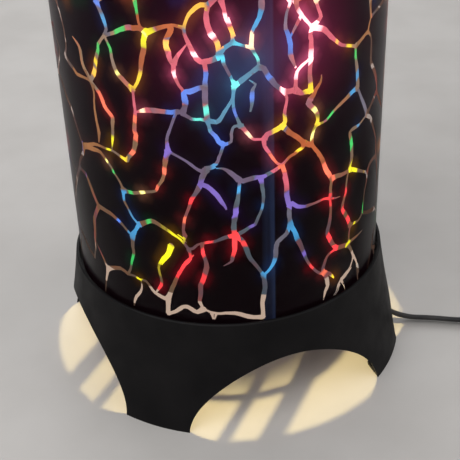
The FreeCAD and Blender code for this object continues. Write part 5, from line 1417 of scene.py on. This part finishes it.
def halo_at(places, strokes):
    """The light that the bright patches near these places spread into the film, as colours."""
    spots, names, lights = [], [], []
    for stroke, name, _, _ in strokes:
        for a, b in zip(stroke, stroke[1:]):
            count = max(1, round((b - a).length / HALO_STEP))
            spots += [a.lerp(b, (k + 0.5) / count) for k in range(count)]
            names += [name] * count
            lights += [FLECK_COLOURS[name][1] * (b - a).length / count] * count
    here, there = numpy.array(places, "f"), numpy.array(spots, "f")
    across, up = (numpy.subtract.outer(here[:, k], there[:, k]) for k in (0, 1))
    away = across**2 + up**2
    tints = []
    for name, light in zip(names, lights):
        colour, glow = FLECK_COLOURS[name]
        share = light * HALO_STRENGTH * glow**HALO_FLARE
        tints.append([share * part * tint for part, tint in zip(colour, HALO_TINT)])
    halo = numpy.exp(-away / HALO_REACH**2) @ numpy.array(tints)
    for chosen_name, (tint, reach, strength) in VEILS.items():
        chosen = [k for k, name in enumerate(names) if name == chosen_name]
        glow_veil = numpy.exp(-away[:, chosen] / reach**2) @ numpy.array(lights)[chosen]
        halo += numpy.outer(glow_veil, tint) * strength
    return halo


def outwardness(face):
    """Above nothing where a face of a rolled sheet looks away from the lamp's axis."""
    return face.normal.dot(face.calc_center_median().xy.to_3d())


def film_piece(name, sheet, body, finishes, depth, side):
    """A thin piece from a rolled sheet, its depth in millimetres outwards (1) or inwards (-1)."""
    piece = mesh_piece(name, sheet, body, finishes)
    film = piece.modifiers.new("film", "SOLIDIFY")
    film.thickness = depth * MM
    film.offset = side


def make_print(strokes):
    """The print: one black sheet with the cracks left clear, rolled inside the shade."""
    chance = random.Random(PRINT_SEED)
    lines = crack_lines(chance)
    sheet = flat_print(with_back_copies(crack_patches(lines, chance)))
    halo = sheet.verts.layers.float_color.new("halo")
    for v, light in zip(sheet.verts, halo_at([v.co.xz for v in sheet.verts], strokes)):
        v[halo] = (*light, 1)
    for v in sheet.verts:
        v.co = rolled(v.co.xz, PRINT_RADIUS) * MM
    bmesh.ops.remove_doubles(sheet, verts=sheet.verts, dist=PRINT_WELD * MM)
    bmesh.ops.recalc_face_normals(sheet, faces=sheet.faces)
    if sum((outwardness(face) > 0) - 0.5 for face in sheet.faces) < 0:
        bmesh.ops.reverse_faces(sheet, faces=sheet.faces)
    finishes = [print_ink_finish(), frosted_crack_glow_finish()]
    film_piece("shade_print", sheet, "shade", finishes, PRINT_FILM, -1)


# The drum's bright patches.


def fleck_strip(sheet, stroke, width, lift, skew, fade, shine, paint):
    """One patch: a strip along its stroke, with its ends cut at a slant, rolled round the drum."""
    core = sheet.verts.layers.float["core"]
    cover = sheet.verts.layers.float["cover"]
    line = []
    for a, b in zip(stroke, stroke[1:]):
        count = max(1, round((b - a).length / FLECK_STEP))
        line += [a.lerp(b, k / count) for k in range(count)]
    line.append(stroke[-1])
    steps = len(line) - 1
    length = sum((b - a).length for a, b in zip(line, line[1:]))
    strip = bmesh.ops.create_grid(sheet, x_segments=steps, y_segments=1, size=1)
    for v in strip["verts"]:
        along = (v.co.x + 1) / 2
        i = round(along * steps)
        ahead = (line[min(i + 1, steps)] - line[max(i - 1, 0)]).normalized()
        aside = (Vector((-ahead.y, ahead.x)) + ahead * skew) * width / 2 * v.co.y
        place = rolled(line[i] + aside, DRUM_RADIUS)
        place.xy *= 1 + lift / DRUM_RADIUS
        v.co = place * MM
        # The strength of the painted glow along the patch.
        v[core] = shine * (FLECK_END_GLOW + FLECK_MIDDLE_GLOW * (1 - (2 * along - 1) ** 2))
        v[cover] = min(1, FLECK_END_COVER + min(along, 1 - along) * length / fade)
        for face in v.link_faces:
            face.material_index = paint


def picture_strokes(radius):
    """The patches that the picture shows, on a round wall of this radius."""
    strokes = []
    for picked, width, lift in ((WASHES, WASH_WIDTH, WASH_LIFT), (FLECKS, FLECK_WIDTH, FLECK_LIFT)):
        for colour, lines in picked.items():
            for pixels in lines:
                strokes.append(([in_sight(pixel, radius) for pixel in pixels], colour, width, lift))
    return strokes


def other_strokes():
    """Patches like those of the picture, for the rest of the drum."""
    chance = random.Random(FLECK_SEED)
    strokes = []
    columns = round(2 * math.pi * DRUM_RADIUS / FLECK_SPACING)
    rows = int((DRUM_TOP - HEM_TOP) / FLECK_SPACING)
    last = len(FLECK_ORDER) - 1
    for column in range(columns):
        for row in range(rows):
            x = ((column + chance.random()) / columns - 0.5) * 2 * math.pi * DRUM_RADIUS
            y = HEM_TOP + FLECK_OVER_HEM + (row + chance.random() * FLECK_SCATTER) * FLECK_SPACING
            middle = Vector((x, y))
            along = Vector((1, 0))
            along.rotate(Matrix.Rotation(chance.uniform(0, math.pi), 2))
            half = along * chance.uniform(*FLECK_HALVES)
            bearing = math.degrees(x / DRUM_RADIUS) + PRINT_FRONT
            turn = bearing - BAND_MIDDLE + (y - BAND_LEAN_FROM) * BAND_LEAN
            band = abs((turn + BAND_HALF) % (2 * BAND_HALF) - BAND_HALF) / BAND_HALF
            pick = round(band * last + chance.uniform(-FLECK_STRAY, FLECK_STRAY))
            kept = chance.random() < FLECK_SHARE
            if kept and not is_seen(middle, DRUM_RADIUS) and y < DRUM_TOP - FLECK_UNDER_TOP:
                colour = FLECK_ORDER[min(max(pick, 0), last)]
                # Patches near the bulb's height may take hot colours: a painted hot spot.
                dim = HOT_FRONT < abs(x) < HOT_SIDE
                if abs(y - GLOW_HEIGHT) < HOT_BAND and chance.random() < HOT_SHARE and not dim:
                    colour = chance.choice(HOT_COLOURS)
                strokes.append(([middle - half, middle + half], colour, FLECK_WIDTH, FLECK_LIFT))
    return strokes


def make_flecks(strokes):
    """The drum's bright patches, one thin layer on its film."""
    chance = random.Random(FLECK_SEED)
    sheet = bmesh.new()
    sheet.verts.layers.float.new("core")
    sheet.verts.layers.float.new("cover")
    colours = list(FLECK_COLOURS)
    for stroke, colour, width, lift in strokes:
        skew = chance.uniform(-FLECK_SKEW, FLECK_SKEW)
        fade = chance.uniform(*FLECK_FADE_SHARES) * FLECK_FADE
        shine = chance.uniform(*FLECK_SHINES)
        fleck_strip(sheet, stroke, width, lift, skew, fade, shine, colours.index(colour))
    bmesh.ops.recalc_face_normals(sheet, faces=sheet.faces)
    for face in sheet.faces:
        if outwardness(face) < 0:
            face.normal_flip()
    finishes = [fleck_finish(colour) for colour in colours]
    film_piece("drum_patches", sheet, "drum", finishes, FLECK_FILM, 1)


# The stage. A soft lamp has its bearing and rise in degrees, its distance and size in metres,
# and its power.

SOFT_LAMPS = {
    "key_lamp": (-150, 50, 1.6, 1.4, 17),
    "fill_lamp": (-40, 35, 1.8, 1.6, 9),
    "back_lamp": (80, 40, 1.8, 1.2, 11),
}
LAMP_AIM = Vector((0, 0, 0.13))
BULB_POWER = 1.5
BULB_COLOUR = (1.0, 0.80, 0.35)
BULB_SOURCE = 0.005
FLOOR_RADIUS = 8
FLOOR_CORNERS = 96
WORLD_COLOUR = (0.92, 0.93, 0.95, 1)
WORLD_STRENGTH = 0.45


def soft_lamp(name, bearing, rise, away, size, power):
    """A soft square lamp that looks at the middle of the shade."""
    lamp = put_in_scene(name, bpy.data.lights.new(name, "AREA"))
    lamp.data.shape = "SQUARE"
    lamp.data.size = size
    lamp.data.energy = power
    ahead = direction(bearing + 180, rise)
    lamp.location = LAMP_AIM - ahead * away
    lamp.rotation_mode = "QUATERNION"
    lamp.rotation_quaternion = ahead.to_track_quat("-Z", "Y")


def bulb_light():
    bulb = put_in_scene("bulb_light", bpy.data.lights.new("bulb_light", "POINT"))
    bulb.data.energy = BULB_POWER
    bulb.data.color = BULB_COLOUR
    bulb.data.shadow_soft_size = BULB_SOURCE
    bulb.location = (0, 0, BULB_MIDDLE * MM)


def floor_finish():
    finish, tree, shader = solid_finish("pale_floor", (0.46, 0.44, 0.42), 0.6)
    cloud = varied(tree, 60.0, cut=(0.35, 0.65))
    feed(tree, shader.inputs["Base Color"], mix_colours(tree, cloud, (0.44, 0.42, 0.40), (0.48, 0.46, 0.44)))
    roughen(tree, shader, noise(tree, 1.5), 0.02)
    return finish


def make_floor():
    shape = bmesh.new()
    bmesh.ops.create_circle(shape, cap_ends=True, segments=FLOOR_CORNERS, radius=FLOOR_RADIUS)
    mesh = bpy.data.meshes.new("floor")
    shape.to_mesh(mesh)
    shape.free()
    mesh.materials.append(floor_finish())
    put_in_scene("floor", mesh)


def make_world():
    world = bpy.data.worlds.new("studio")
    world.use_nodes = True
    background = world.node_tree.nodes["Background"]
    background.inputs["Color"].default_value = WORLD_COLOUR
    background.inputs["Strength"].default_value = WORLD_STRENGTH
    bpy.context.scene.world = world
    bpy.context.scene.view_settings.view_transform = "Standard"


make_camera()
dress_nodes()
lay_cords()
spare_strokes = other_strokes()
make_print(picture_strokes(PRINT_RADIUS) + spare_strokes)
make_flecks(picture_strokes(DRUM_RADIUS) + spare_strokes)
make_floor()
bulb_light()
for lamp_name, placing in SOFT_LAMPS.items():
    soft_lamp(lamp_name, *placing)
make_world()
